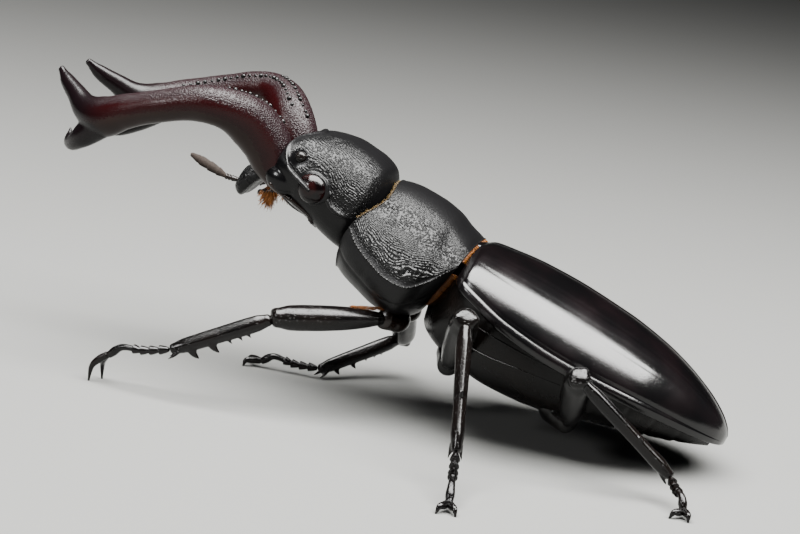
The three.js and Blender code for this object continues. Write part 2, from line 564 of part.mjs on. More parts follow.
const seats = [];
for (const leg of LEGS) {
  const [knee, ankle, sole, toe] = [leg.knee, leg.ankle, leg.sole, leg.toe].map(vector);
  const [femurThick, tibiaThick] = leg.thick;
  const hip = leg.ring.localToWorld(vector(leg.hip));
  const bent = knee.clone().sub(hip.clone().lerp(ankle, 0.5)).normalize();
  const thigh = knee.clone().sub(hip).normalize();
  const shin = ankle.clone().sub(knee).normalize();

  const coxa = add(
    leg.ring,
    `coxa_${leg.name}`,
    outward(bare(new THREE.SphereGeometry(1, 8, 5))).scale(...COXA_SIZE),
    FINISH.polished,
  );
  coxa.position.set(...leg.coxa);

  const femurFrom = hip.clone().addScaledVector(thigh, HIP_CLEARANCE);
  const femurRadius = (t) => femurThick * run(FEMUR_RADII, t);
  const femurShape = straight(femurFrom.distanceTo(knee), 7, 8, femurRadius, FEMUR_FLAT);
  const femur = add(animal, `femur_${leg.name}`, femurShape, FINISH.polished);
  lay(femur, femurFrom, knee, bent);

  const tibiaFrom = knee.clone().addScaledVector(shin, 0.5 * femurThick + JOINT_GAP);
  const tibiaLength = tibiaFrom.distanceTo(ankle);
  const shaft = straight(tibiaLength, 7, 8, (t) => tibiaThick * run(TIBIA_RADII, t), TIBIA_FLAT);
  const spines = leg.teeth.map((t) => {
    const size = leg.tooth * (0.5 + 0.6 * t);
    const root = [Math.sign(size) * 0.5 * tibiaThick, 0, t * tibiaLength];
    const tip = [Math.sign(size) * tibiaThick + size, 0, t * tibiaLength + 0.5 * Math.abs(size)];
    return limb(4, 3, [root, tip], (u) => 0.45 * Math.abs(size) * (1 - 0.6 * u), BACK);
  });
  const spurs = [-1, 1].map((turn) => {
    const ends = [SPUR.root, SPUR.tip].map(([x, y, z]) => [x, y * turn, tibiaLength + z]);
    return limb(4, 3, ends, (u) => SPUR.radius * (1 - 0.5 * u), BACK);
  });
  const tibia = add(animal, `tibia_${leg.name}`, join(shaft, ...spines, ...spurs), FINISH.polished, shaft);
  lay(tibia, tibiaFrom, ankle, leg.ring === prothorax ? UP : bent);

  const sleeve = sole.clone().sub(ankle).normalize();
  const first = ankle.clone().addScaledVector(sleeve, 2 * ANKLE_CLEARANCE);
  const arch = (t, lift) => first.clone().lerp(sole, t).add(new THREE.Vector3(0, 0, lift)).toArray();
  const beads = (t) => (t < PAD.pads
    ? PAD.least + PAD.flare * ((t / PAD.pad) % 1)
    : run(CLAW_SEGMENT_RADII, (t - PAD.pads) / (1 - PAD.pads)));
  add(
    animal,
    `tarsus_${leg.name}`,
    limb(5, 11, [arch(0, 0), arch(0.45, 0.15), arch(0.8, 0.5), arch(1, 0)], beads, UP),
    FINISH.polished,
  );

  // Both claws are one bow, from tip to tip past the end of the tarsus.
  const ahead = toe.clone().sub(sole).setZ(0).normalize();
  const sideways = new THREE.Vector3().crossVectors(UP, ahead);
  const root = sole.clone().addScaledVector(sleeve, 2 * ANKLE_CLEARANCE);
  const [one, other] = [-1, 1].map((turn) => {
    const tip = toe.clone().addScaledVector(sideways, CLAW_SPREAD * turn).setZ(FLOOR - 0.2);
    const bend = root.clone().lerp(tip, 0.55).addScaledVector(ahead, 0.5);
    bend.addScaledVector(sideways, 0.25 * turn);
    bend.z = Math.max(bend.z, FLOOR + 0.4) + 0.35;
    return [tip, bend];
  });
  const bow = [one[0], one[1], root, other[1], other[0]].map((point) => point.toArray());
  add(
    animal,
    `claws_${leg.name}`,
    limb(4, 9, bow, (t) => run(CLAW_RADII, t), UP),
    FINISH.polished,
  );
  const hosts = leg.ring === prothorax ? [pronotum] : [hindThorax, abdomen];
  seats.push(...hosts.map((host) => [host, [coxa, femur]]));
}

// ---------------------------------------------------------------- fitting the pieces to each other
animal.updateMatrixWorld(true);
for (const [host, guests] of seats) {
  seat(host, guests);
}
for (const elytron of elytra) {
  seat(elytron, [core], CORE_GAP);
  seat(elytron, [scutellum]);
}
core.removeFromParent();
seat(headShell, [...eyes, ...mandibles, ...antennae]);
const ground = new THREE.Mesh(block(200, 200, 20, [0, 0, FLOOR - 10]));
ground.userData.mould = ground.geometry;
ground.updateMatrixWorld(true);
animal.traverse((item) => {
  if (item.name.startsWith('claws')) {
    seat(item, [ground], 0);
  }
});

const extent = new THREE.Box3().setFromObject(animal, true);
const centre = extent.getCenter(new THREE.Vector3());
animal.position.set(-centre.x, -centre.y, -extent.min.z);
animal.updateMatrixWorld(true);

export default animal;
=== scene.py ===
# %% [markdown]
# # A stag beetle, dressed over its solids
#
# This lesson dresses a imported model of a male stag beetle. The solids give every piece its place and
# true size. Here each shell plate, leg and feeler gets a fine surface, a finish of its own and the hair
# that fringes it. All sizes are in millimetres, and one matrix at the end of each step turns them to
# metres.

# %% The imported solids
import math
import random
from collections import namedtuple
from math import cos, pi, radians, sin

import bmesh
import bpy
import numpy as np
from mathutils import Matrix, Vector


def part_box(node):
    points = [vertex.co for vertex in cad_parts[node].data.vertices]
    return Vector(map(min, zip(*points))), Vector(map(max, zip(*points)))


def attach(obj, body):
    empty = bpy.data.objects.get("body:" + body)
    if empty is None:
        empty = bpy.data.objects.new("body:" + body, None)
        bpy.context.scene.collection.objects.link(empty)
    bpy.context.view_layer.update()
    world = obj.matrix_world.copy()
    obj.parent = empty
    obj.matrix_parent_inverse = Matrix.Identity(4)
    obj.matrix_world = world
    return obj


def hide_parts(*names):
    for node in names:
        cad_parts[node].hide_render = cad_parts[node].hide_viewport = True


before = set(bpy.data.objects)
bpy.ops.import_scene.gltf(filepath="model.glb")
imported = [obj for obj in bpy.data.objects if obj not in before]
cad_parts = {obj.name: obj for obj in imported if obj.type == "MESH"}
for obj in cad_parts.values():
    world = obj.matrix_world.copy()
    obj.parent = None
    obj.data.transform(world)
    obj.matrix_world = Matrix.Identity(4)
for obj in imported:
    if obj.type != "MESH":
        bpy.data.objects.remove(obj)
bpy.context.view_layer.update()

MM = 0.001
SIDES = (("left", 1), ("right", -1))

# %% [markdown]
# ## The three frames of the body
#
# A beetle's body bends at two joints: between the hind body and the prothorax, and at the neck. Each
# part could be modelled where it lies in the world, but then every section would be tilted. It is
# easier to model each part straight, along its own Y axis, and to turn it with a matrix. The solids
# were made in the same three frames, so the fine surfaces fall on them.

# %% Frames of the trunk, prothorax and head
TRUNK_ATTITUDE = (22.5, 0, -9)  # nose up, turn left, lean left, in degrees
PROTHORAX_ATTITUDE = (1, 0, 8.5)
HEAD_ATTITUDE = (0, -5, 2)
PROTHORAX_AT = (0.2, -0.6, -0.2)
HEAD_AT = (0, -12.6, 0)
EYE_AT = (7, -7.8, 0.9)
FLOOR = -18.6  # in the animal's frame


def turned(*steps):
    """Turns by degrees about an axis, each within the frame of the one before."""
    matrix = Matrix.Identity(4)
    for degrees, axis in steps:
        matrix = matrix @ Matrix.Rotation(radians(degrees), 4, axis)
    return matrix


def attitude(nose_up, turn, lean):
    return turned((-nose_up, "X"), (turn, "Z"), (lean, "Y"))


def middle(node):
    low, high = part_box(node)
    return (low + high) / (2 * MM)


in_trunk = attitude(*TRUNK_ATTITUDE)
in_prothorax = in_trunk @ Matrix.Translation(PROTHORAX_AT) @ attitude(*PROTHORAX_ATTITUDE)
in_head = in_prothorax @ Matrix.Translation(HEAD_AT) @ attitude(*HEAD_ATTITUDE)
animal_at = middle("eye_left") - in_head @ Vector(EYE_AT)
ANIMAL = Matrix.Scale(MM, 4) @ Matrix.Translation(animal_at)
TRUNK, PROTHORAX, HEAD = (ANIMAL @ m for m in (in_trunk, in_prothorax, in_head))
print("the animal's origin, in mm:", [round(v, 3) for v in animal_at])

# %% [markdown]
# ## Camera, floor and light
#
# A long lens keeps the shapes of a small animal true. The camera looks a little down on the beetle's
# left side and is rolled, as if the beetle walked up a slope. Black shells show only what they mirror,
# so the light does most of the work. One long soft box overhead draws the bright band along the wing
# case, and the room around it is kept dim so that the shell stays black.

# %% Camera
LENS, SENSOR = 100, 36
AZIMUTH, ELEVATION, ROLL = 101, 12, 8
DISTANCE = 278
AIM = Vector((0.4, -8.1, -0.2))


def added(name, data):
    """A new object in the scene."""
    thing = bpy.data.objects.new(name, data)
    bpy.context.scene.collection.objects.link(thing)
    return thing


camera_data = bpy.data.cameras.new("camera")
camera_data.lens, camera_data.sensor_width = LENS, SENSOR
camera_data.clip_start = 0.01
camera = added("camera", camera_data)
facing = turned((AZIMUTH, "Z"), (90 - ELEVATION, "X"), (ROLL, "Z"))
place = ANIMAL @ AIM + facing @ Vector((0, 0, DISTANCE * MM))
camera.matrix_world = Matrix.Translation(place) @ facing
bpy.context.scene.camera = camera
print("camera", [round(v, 4) for v in place])


# %% Shader maths
class Signal:
    """One output socket of a material. Python's operators on it add Math nodes."""

    def __init__(self, finish, socket):
        self.finish, self.socket = finish, socket

    def math(self, operation, *values):
        sockets = dict(enumerate((self, *values)))
        return self.finish.node("ShaderNodeMath", {"operation": operation}, sockets)

    def __add__(self, other):
        return self.math("ADD", other)

    def __sub__(self, other):
        return self.math("SUBTRACT", other)

    def __mul__(self, other):
        return self.math("MULTIPLY", other)

    def __rsub__(self, other):
        return self.finish.node("ShaderNodeMath", {"operation": "SUBTRACT"}, {0: other, 1: self})

    __radd__ = __add__
    __rmul__ = __mul__

    def ramp(self, low, high):
        """0 below low and 1 above high, smooth between them."""
        sockets = {"Value": self, "From Min": low, "From Max": high}
        return self.finish.node("ShaderNodeMapRange", {"interpolation_type": "SMOOTHSTEP"}, sockets)


class Finish:
    """A material: one Principled shader, and the nodes that feed it."""

    def __init__(self, name, shine, **constants):
        self.material = bpy.data.materials.new(name)
        self.material.use_nodes = True
        self.tree = self.material.node_tree
        self.shader = self.tree.nodes["Principled BSDF"]
        self.shader.inputs["Specular IOR Level"].default_value = shine
        for key, value in constants.items():
            self.shader.inputs[key.replace("_", " ")].default_value = value
        self.here = self.object_mm()
        print("finish", name)

    def node(self, kind, settings=None, sockets=None, output=0):
        node = self.tree.nodes.new(kind)
        for key, value in (settings or {}).items():
            setattr(node, key, value)
        for key, value in (sockets or {}).items():
            if isinstance(value, Signal):
                self.tree.links.new(value.socket, node.inputs[key])
            else:
                node.inputs[key].default_value = value
        return Signal(self, node.outputs[output])

    def feed(self, key, signal):
        self.tree.links.new(signal.socket, self.shader.inputs[key])

    def object_mm(self, stretch=(1, 1, 1), turn=(0, 0, 0)):
        """Object coordinates in millimetres, turned and stretched."""
        place = self.node("ShaderNodeTexCoord", output="Object")
        scale = tuple(value / MM for value in stretch)
        return self.node("ShaderNodeMapping", None, {"Vector": place, "Rotation": turn, "Scale": scale})

    def attribute(self, name):
        return self.node("ShaderNodeAttribute", {"attribute_name": name}, None, "Fac")

    def noise(self, scale, detail=2, rough=0.5, where=None):
        sockets = {"Vector": where or self.here, "Scale": scale, "Detail": detail, "Roughness": rough}
        return self.node("ShaderNodeTexNoise", None, sockets, "Fac")

    def vector(self, operation, sockets):
        return self.node("ShaderNodeVectorMath", {"operation": operation}, sockets)

    def warped(self, scale, amount):
        """The coordinates, pushed about by a slow noise."""
        push = self.node("ShaderNodeTexNoise", None, {"Vector": self.here, "Scale": scale}, "Color")
        centred = self.vector("SUBTRACT", {0: push, 1: (0.5, 0.5, 0.5)})
        return self.vector("ADD", {0: self.here, 1: self.vector("SCALE", {0: centred, "Scale": amount})})

    def grains(self, scale, where=None):
        """Rounded grains: 1 on top of each and 0 in the net of grooves between them."""
        sockets = {"Vector": where or self.here, "Scale": scale, "Smoothness": 0.35, "Randomness": 0.75}
        distance = self.node("ShaderNodeTexVoronoi", {"feature": "SMOOTH_F1"}, sockets, "Distance")
        return 1 - distance.ramp(0.15, 0.62)

    def blend(self, mask, *pair):
        """The first colour where mask is 0, and the second where it is 1."""
        first, second = (tone if isinstance(tone, Signal) else (*tone, 1) for tone in pair)
        sockets = {"Factor": mask, 6: first, 7: second}
        return self.node("ShaderNodeMix", {"data_type": "RGBA"}, sockets, 2)

    def paint(self, mask, *pair):
        self.feed("Base Color", self.blend(mask, *pair))

    def relief(self, height, depth, strength=1):
        """Bump from a height of 0 to 1 that stands depth millimetres high."""
        sockets = {"Height": height, "Distance": depth * MM, "Strength": strength}
        self.feed("Normal", self.node("ShaderNodeBump", None, sockets))


# %% Floor, backdrop and lights
def panel(name, centre, size, power, turn, tint=(1, 1, 1)):
    """A rectangular soft box, size in metres, shining towards its own -Z."""
    data = bpy.data.lights.new(name, "AREA")
    data.shape, data.size, data.size_y = "RECTANGLE", *size
    data.energy, data.color = power, tint
    light = added(name, data)
    light.location, light.rotation_euler = centre, [radians(a) for a in turn]
    print("light", name, power, "W")


def edges_of(geometry):
    return [g for g in geometry if isinstance(g, bmesh.types.BMEdge)]


def verts_of(geometry):
    return [g for g in geometry if isinstance(g, bmesh.types.BMVert)]


def placed(name, bm, matrix):
    """Places a bmesh and turns it into a mesh."""
    bmesh.ops.transform(bm, matrix=matrix, verts=bm.verts)
    bmesh.ops.recalc_face_normals(bm, faces=bm.faces)
    mesh = bpy.data.meshes.new(name)
    bm.to_mesh(mesh)
    bm.free()
    return mesh


STAGE_REACH = 1.6  # metres from the beetle to the edge of the floor
SWEEP_STEPS, SWEEP_RADIUS, SWEEP_HEIGHT = 12, 0.5, 1.5
paper = Finish("paper_with_painted_shade", 0.1, Roughness=0.9)
paper.relief(paper.noise(0.8, 4), 0.05, 0.3)
# Painted shade: the paper is coloured darker up the sweep, from 20 mm to 500 mm high, in place of the
# light falling off away from the soft box.
height = paper.node("ShaderNodeSeparateXYZ", None, {0: paper.here}, 2)
paper.paint(height.ramp(20, 500), (0.105, 0.105, 0.102), (0.02, 0.02, 0.02))
stage = bmesh.new()
bmesh.ops.create_grid(stage, x_segments=1, y_segments=1, size=STAGE_REACH)
far_edge = [e for e in stage.edges if all(v.co.x < 0 for v in e.verts)]
for step in range(SWEEP_STEPS + 1):
    made = bmesh.ops.extrude_edge_only(stage, edges=far_edge)["geom"]
    far_edge = edges_of(made)
    turn = radians(90 * (step + 0.5) / SWEEP_STEPS)
    length = SWEEP_RADIUS * radians(90 / SWEEP_STEPS)
    push = Vector((-cos(turn), 0, sin(turn))) * length
    if step == SWEEP_STEPS:
        push = Vector((0, 0, SWEEP_HEIGHT))
    bmesh.ops.translate(stage, vec=push, verts=verts_of(made))
floor_mesh = placed("paper_sweep", stage, Matrix())
floor_mesh.shade_smooth()
floor_mesh.materials.append(paper.material)
sweep = added("paper_sweep", floor_mesh)

world = bpy.data.worlds.new("room")
world.use_nodes = True
background = world.node_tree.nodes["Background"].inputs
background["Color"].default_value = (0.8, 0.85, 0.9, 1)
background["Strength"].default_value = 0.07
bpy.context.scene.world = world
panel("overhead_box", (0.07, 0.1, 0.34), (0.27, 0.62), 23, (0, 8, 0), (1, 1, 0.98))
panel("front_box", (0.32, -0.3, 0.2), (0.08, 0.08), 1.2, (0, 62, -43))


# %% [markdown]
# ## The finishes
#
# Beetle shell is dark all through, so its looks come from its relief. The head and the pronotum are
# covered in grains that stand in short wavy rows, and each grain catches a spark of light. The wing
# cases are polished and finely scratched. Thousands of grains could be modelled, but that would cost
# millions of faces. Here each piece stores a count of its rows. A sine of that count gives the ridges,
# noise bends them and breaks them up, Voronoi cells fill in between, and a Bump node makes the relief.

# %% Granular shell
def granular(name, size, depth, tone, roughness):
    """Rows of grains where the grain attribute is 1. The rows attribute counts them across the piece."""
    finish = Finish(name, 0.22)
    grain, rows, gloss = (finish.attribute(key) for key in ("grain", "rows", "gloss"))
    phase = rows + finish.noise(0.32, 1) * 8
    ridge = (phase * math.tau).math("SINE") * 0.5 + 0.5
    breaks = finish.noise(1.35 / size, 1).ramp(0.42, 0.56)
    coarse = ridge * (breaks * 0.9 + 0.1)
    fine = finish.grains(1.5 / size, finish.warped(0.8, 0.5))
    speck = finish.noise(9, 3)
    skin = fine * (0.13 - gloss * 0.1) * (1 - grain)
    height = (coarse * 0.8 + fine * 0.2) * grain + skin + speck * 0.02
    finish.relief(height, depth)
    # Painted shade: the grooves between the rows of grains are coloured darker than the grains.
    hollow = (1 - ridge) * grain
    finish.paint(hollow, tone, (0.001, 0.001, 0.001))
    dull = (1 - grain) * 0.13 + hollow * 0.2 - gloss * 0.2
    finish.feed("Roughness", dull + speck * 0.1 + roughness)
    return finish.material


granular_shell = granular("granular_shell", 0.36, 0.08, (0.0014, 0.0013, 0.0015), 0.2)


# %% Polished shell of the wing cases
def polished(name, tone, tint, roughness, scratch, pits, shine):
    finish = Finish(name, shine)
    across = finish.noise(2.2, 4, 0.6, finish.object_mm((0.5, 6, 1), (0, 0, 0.12)))
    along = finish.noise(1.3, 4, 0.6, finish.object_mm((5, 0.6, 5)))
    dots = finish.grains(2.4).ramp(0.8, 1)
    finish.relief(across * 0.4 + along * 0.6 - dots * pits, scratch)
    worn = finish.noise(0.16, 3).ramp(0.35, 0.7)
    finish.paint(worn, tone, tint)
    finish.feed("Roughness", worn * 0.07 + across * 0.08 + roughness)
    return finish.material


POLISHES = (  # name, tone, its tint, roughness, depth of the scratches, pits, shine
    ("wing_shell", (0.001, 0.0009, 0.001), (0.0017, 0.0009, 0.0011), 0.12, 0.01, 0.3, 0.4),
    ("belly_shell", (0.0008, 0.0006, 0.0005), (0.002, 0.0011, 0.0008), 0.2, 0.02, 0.5, 0.16),
    ("leg_shell", (0.001, 0.0009, 0.0009), (0.0022, 0.0014, 0.0012), 0.1, 0.025, 1, 0.24),
    ("stem_shell", (0.004, 0.002, 0.0013), (0.009, 0.0045, 0.003), 0.2, 0.02, 0.5, 0.3),
)
wing_shell, belly_shell, leg_shell, stem_shell = (polished(*row) for row in POLISHES)


# %% Wine red mandible
def wine():
    """Grains on top, a wine red band under them and smooth brown below, by the band attribute."""
    finish = Finish("mandible_shell", 0.19)
    band, along = finish.attribute("band"), finish.attribute("along")
    ragged = finish.noise(2.6, 3) * 0.4 + band - 0.2
    crown = ragged.ramp(0.25, 0.6)
    belly = 1 - ragged.ramp(-0.4, -0.25)
    prong = along.ramp(0.66, 0.8)
    grains = finish.grains(4.4, finish.warped(0.8, 0.5))
    red = finish.blend(crown, (0.0072, 0.0004, 0.0006), (0.0062, 0.0022, 0.0029))
    brown = finish.blend(belly, red, (0.011, 0.0046, 0.0033))
    finish.paint(prong, brown, (0.0022, 0.0011, 0.0014))
    border = (ragged + 0.33).math("ABSOLUTE").ramp(0, 0.07)
    grainy = (crown * 0.8 + 0.2 * (1 - belly) + (1 - border) * 0.3) * (1 - prong * 0.9)
    speck = finish.noise(11, 3)
    finish.relief(grains * grainy + speck * 0.04, 0.055)
    finish.feed("Roughness", 0.24 + belly * 0.08 + crown * 0.1 - prong * 0.08 + speck * 0.06)
    return finish.material


mandible_shell = wine()


# %% Eye, felt and hair
def eye_glass():
    finish = Finish("eye_glass", 0.12, Coat_Weight=0.24, Coat_Roughness=0.02)
    cloud = finish.noise(0.7)
    finish.paint(cloud.ramp(0.35, 0.65), (0.001, 0.0004, 0.0005), (0.006, 0.0014, 0.0014))
    finish.relief(finish.grains(9), 0.006)
    finish.feed("Roughness", cloud * 0.08 + 0.08)
    return finish.material


def felt():
    finish = Finish("club_felt", 0.3)
    nap = finish.noise(9, 4, 0.7)
    finish.paint(nap, (0.0015, 0.0008, 0.0005), (0.022, 0.0125, 0.0075))
    finish.relief(nap, 0.05)
    finish.feed("Roughness", nap * 0.2 + 0.7)
    return finish.material


def hair(name, root, tip, roughness=0.4):
    """Hair that goes from its root's colour to its tip's with the piece's tip attribute."""
    finish = Finish(name, 0.25)
    shade = finish.noise(1.7) * 0.6 + finish.attribute("tip") * 0.7
    finish.paint(shade.ramp(0.2, 1), root, tip)
    finish.feed("Roughness", shade * 0.1 + roughness)
    return finish.material


eye_material, club_felt = eye_glass(), felt()
golden_hair = hair("golden_hair", (0.018, 0.009, 0.002), (0.08, 0.048, 0.011))
orange_hair = hair("orange_hair", (0.05, 0.013, 0.0008), (0.17, 0.055, 0.004))
brush_hair = hair("brush_hair", (0.08, 0.018, 0.0015), (0.27, 0.1, 0.024), 0.5)
print("finishes:", len(bpy.data.materials))

# %% [markdown]
# ## Tools for curved pieces
#
# Two ways of modelling give nearly all of a beetle. A plate such as the pronotum is a ball's net drawn
# over a row of cross-sections: bmesh makes the ball, and each of its rings is moved to its section. A
# leg or a mandible is a ring that is extruded along a curve. Both keep an even net, so the light runs
# smoothly over them.


# %% Curves
def run(values, t):
    """A smooth run of numbers through evenly spaced values."""
    place = min(max(t, 0), 1) * (len(values) - 1)
    i = min(int(place), len(values) - 2)
    u = place - i

    def slope(k):
        before = values[k] - values[max(k - 1, 0)]
        after = values[min(k + 1, len(values) - 1)] - values[k]
        return 0 if before * after <= 0 else 2 * before * after / (before + after)

    rise, s0, s1 = values[i + 1] - values[i], slope(i), slope(i + 1)
    return values[i] + u * (s0 + u * (3 * rise - 2 * s0 - s1 + u * (s0 + s1 - 2 * rise)))


def through(points, t):
    """The point at t on a smooth curve through the points."""
    count = len(points)
    place = min(max(t, 0), 1) * (count - 1)
    i = min(int(place), count - 2)
    w = place - i
    p1, p2 = points[i], points[i + 1]
    p0 = points[i - 1] if i else 2 * p1 - p2
    p3 = points[i + 2] if i + 2 < count else 2 * p2 - p1
    d0, d1, d2 = (max((b - a).length, 1e-6) ** 0.5 for a, b in ((p0, p1), (p1, p2), (p2, p3)))
    m1 = ((p1 - p0) / d0 - (p2 - p0) / (d0 + d1) + (p2 - p1) / d1) * d1
    m2 = ((p2 - p1) / d1 - (p3 - p1) / (d1 + d2) + (p3 - p2) / d2) * d1
    return p1 + w * (m1 + w * (3 * (p2 - p1) - 2 * m1 - m2 + w * (m1 + m2 - 2 * (p2 - p1))))


def power(value, exponent):
    return math.copysign(abs(value) ** exponent, value)


def peak(value, centre, width):
    """A smooth peak of height 1."""
    return math.exp(-(((value - centre) / width) ** 2))


def spindle(thickest, ends, exponent):
    """A radius that swells from both ends, where the sine starts at a share of its half turn."""
    return lambda t: thickest * sin(pi * (ends + (1 - 2 * ends) * t)) ** exponent


def mirrored(point, side):
    x, y, z = point
    return Vector((x * side, y, z))


def vectors(points, side=1):
    return [mirrored(point, side) for point in points]


# %% Plates: a ball's net drawn over sections
def section_at(stations, t):
    """The section at t: its y, half width, edge height, top and bottom."""
    return [run(column, t) for column in zip(*stations)]


def on_section(section, square, angle, t, shift=None):
    """The point at an angle of a section, and the way out from it. Square has the four exponents."""
    y, wide, edge, top, bottom = section
    above, across_top, below, across_bottom = square
    sine, cosine = sin(angle), cos(angle)
    if sine >= 0:
        x, z = wide * power(cosine, across_top), edge + (top - edge) * abs(sine) ** above
    else:
        x, z = wide * power(cosine, across_bottom), edge + (bottom - edge) * abs(sine) ** below
    if shift:
        y += shift(angle, t)
    return Vector((x, y, z)), Vector((cosine, 0, sine))


def off_plate(stations, square, angle, t, lift, shift=None):
    """A point of a plate, lifted off it."""
    spot, outward = on_section(section_at(stations, t), square, angle, t, shift)
    return spot + outward * lift


def plate(around, along, stations, square, poles, shift=None, sculpt=None, **maps):
    """The poles are the y of both ends. Each of the maps is a function (angle, t, spot) that is
    stored under its name."""
    bm = bmesh.new()
    bmesh.ops.create_uvsphere(bm, u_segments=around, v_segments=along, radius=1)
    layers = {name: bm.verts.layers.float.new(name) for name in ("grain", "rows")}
    sections = {}
    for vert in bm.verts:
        row = round(math.acos(max(-1, min(1, vert.co.z))) / pi * along)
        angle = math.atan2(vert.co.y, vert.co.x)
        t = min(max((row - 1) / (along - 2), 0), 1)
        if row not in sections:
            sections[row] = section_at(stations, t)
        if row in (0, along):
            vert.co = (0, poles[row > 0], sum(sections[row][3:]) / 2)
            continue
        spot, outward = on_section(sections[row], square, angle, t, shift)
        if sculpt:
            spot += outward * sculpt(angle, t, spot)
        vert.co = spot
        for name, value in maps.items():
            vert[layers[name]] = value(angle, t, spot)
    bmesh.ops.recalc_face_normals(bm, faces=bm.faces)
    return bm


# %% Limbs: a ring extruded along a curve
ROUNDING = (80, 60, 40, 20)  # degrees from the axis of the rings that round an end
THINNEST = 0.02  # smallest radius
Ring = namedtuple("Ring", "t centre tangent side rise radius")


def limb(bm, points, radius, reference, flat=1, around=24, along=40, shape=None, bulge=0.5):
    """The radius, half the depth, is a function of t or a row of values. The function
    shape(angle, t) swells or dents the section. Gives the rings along the curve."""
    depth = radius if callable(radius) else lambda t: run(radius, t)
    layer = bm.verts.layers.float.get("along") or bm.verts.layers.float.new("along")
    step = 1 / along / 4
    rings = []
    for k in range(along + 1):
        t = k / along
        centre = through(points, t)
        tangent = (through(points, t + step) - through(points, t - step)).normalized()
        side = reference.cross(tangent).normalized()
        rise = tangent.cross(side)
        rings.append(Ring(t, centre, tangent, side, rise, depth(t)))

    def matrix(ring, ahead=0, shrink=1):
        size = max(ring.radius, THINNEST) * shrink
        axes = Matrix((ring.side * size * flat, ring.rise * size, ring.tangent * size))
        place = Matrix.Translation(ring.centre + ring.tangent * ahead * ring.radius)
        return place @ axes.transposed().to_4x4()

    turns = [(bulge * cos(radians(a)), sin(radians(a))) for a in ROUNDING]
    frames = [(0, matrix(rings[0], -far, near)) for far, near in reversed(turns)]
    frames += [(ring.t, matrix(ring)) for ring in rings]
    frames += [(1, matrix(rings[-1], far, near)) for far, near in turns]
    made = bmesh.ops.create_circle(bm, segments=around, radius=1, matrix=frames[0][1])
    edges = list(dict.fromkeys(e for v in made["verts"] for e in v.link_edges))
    skin = [(made["verts"], *frames[0])]
    first = edges
    for (_, before), (t, after) in zip(frames, frames[1:]):
        made = bmesh.ops.extrude_edge_only(bm, edges=edges)["geom"]
        edges, verts = edges_of(made), verts_of(made)
        bmesh.ops.transform(bm, matrix=after @ before.inverted(), verts=verts)
        skin.append((verts, t, after))
    for end in (first, edges):
        bmesh.ops.edgeloop_fill(bm, edges=end)
    for verts, t, at in skin:
        back = at.inverted()
        for vert in verts:
            vert[layer] = t
            if shape:
                flatly = back @ vert.co
                swell = shape(math.atan2(flatly.y, flatly.x), t)
                vert.co = at @ Vector((flatly.x * swell, flatly.y * swell, flatly.z))
    return rings


# %% Small balls, beads and cones
def bead(bm, centre, radius, squash=(1, 1, 1), segments=8):
    """A ball of few faces, for shapes that are repeated."""
    at = Matrix.Translation(centre) @ Matrix.Diagonal((*squash, 1))
    rows = segments // 2 + 1
    bmesh.ops.create_uvsphere(bm, u_segments=segments, v_segments=rows, radius=radius, matrix=at)


UP, BACK, OUT = Vector((0, 0, 1)), Vector((0, 1, 0)), Vector((1, 0, 0))


def thorn(bm, root, tip, radius, bend, around, along, reference):
    """A curved cone from root to tip, with its middle pushed by bend."""
    points = [root, root.lerp(tip, 0.5) + bend, tip]
    limb(bm, points, lambda t: radius * (1 - 0.9 * t ** 1.3), reference, 1, around, along)


# %% Finishing a piece
def show(name, bm, matrix, material, slot, *nodes, crease=50):
    show_mesh(name, placed(name, bm, matrix), material, slot, *nodes, crease=crease)


def show_mesh(name, mesh, material, slot, *nodes, crease=0):
    """Makes a piece of a mesh and hides the solids it stands for. Edges over crease are sharp."""
    mesh.shade_smooth()
    if crease:
        mesh.set_sharp_from_angle(angle=radians(crease))
    mesh.materials.clear()
    mesh.materials.append(material)
    piece = added(name, mesh)
    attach(piece, "root")
    if nodes:
        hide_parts(*nodes)
    print(f"{name}: {len(mesh.polygons)} faces")


def fused(name, bm, matrix, voxel, passes):
    """Melts overlapping closed bodies into one skin with soft hollows where they meet."""
    worker = added("worker", placed(name, bm, matrix))
    melt = worker.modifiers.new("melt", "REMESH")
    melt.mode, melt.voxel_size = "VOXEL", voxel * MM
    soften = worker.modifiers.new("soften", "SMOOTH")
    soften.iterations, soften.factor = passes, 0.5
    graph = bpy.context.evaluated_depsgraph_get()
    skin = bpy.data.meshes.new_from_object(worker.evaluated_get(graph))
    bpy.data.objects.remove(worker)
    skin.name = name
    return skin


def local_array(mesh, matrix):
    """The vertices in a part's own frame, in millimetres."""
    flat = np.empty(len(mesh.vertices) * 3)
    mesh.vertices.foreach_get("co", flat)
    inverse = np.array(matrix.inverted())
    return flat.reshape(-1, 3) @ inverse[:3, :3].T + inverse[:3, 3]


def store(mesh, name, values):
    layer = mesh.attributes.get(name) or mesh.attributes.new(name, "FLOAT", "POINT")
    layer.data.foreach_set("value", np.asarray(values, dtype=np.float32))


def smoothstep(low, high, values):
    u = np.clip((np.asarray(values) - low) / (high - low), 0, 1)
    return u * u * (3 - 2 * u)


# %% [markdown]
# ## Wing cases
#
# The two wing cases are one dome, split down the middle. They could be cut from a sheet and bent, but
# the dome's sections are known, so it is drawn over a ball's net and halved with bisect_plane. A flat
# bead runs along the side margin, a fine one along the split, and shallow lines run from front to back.

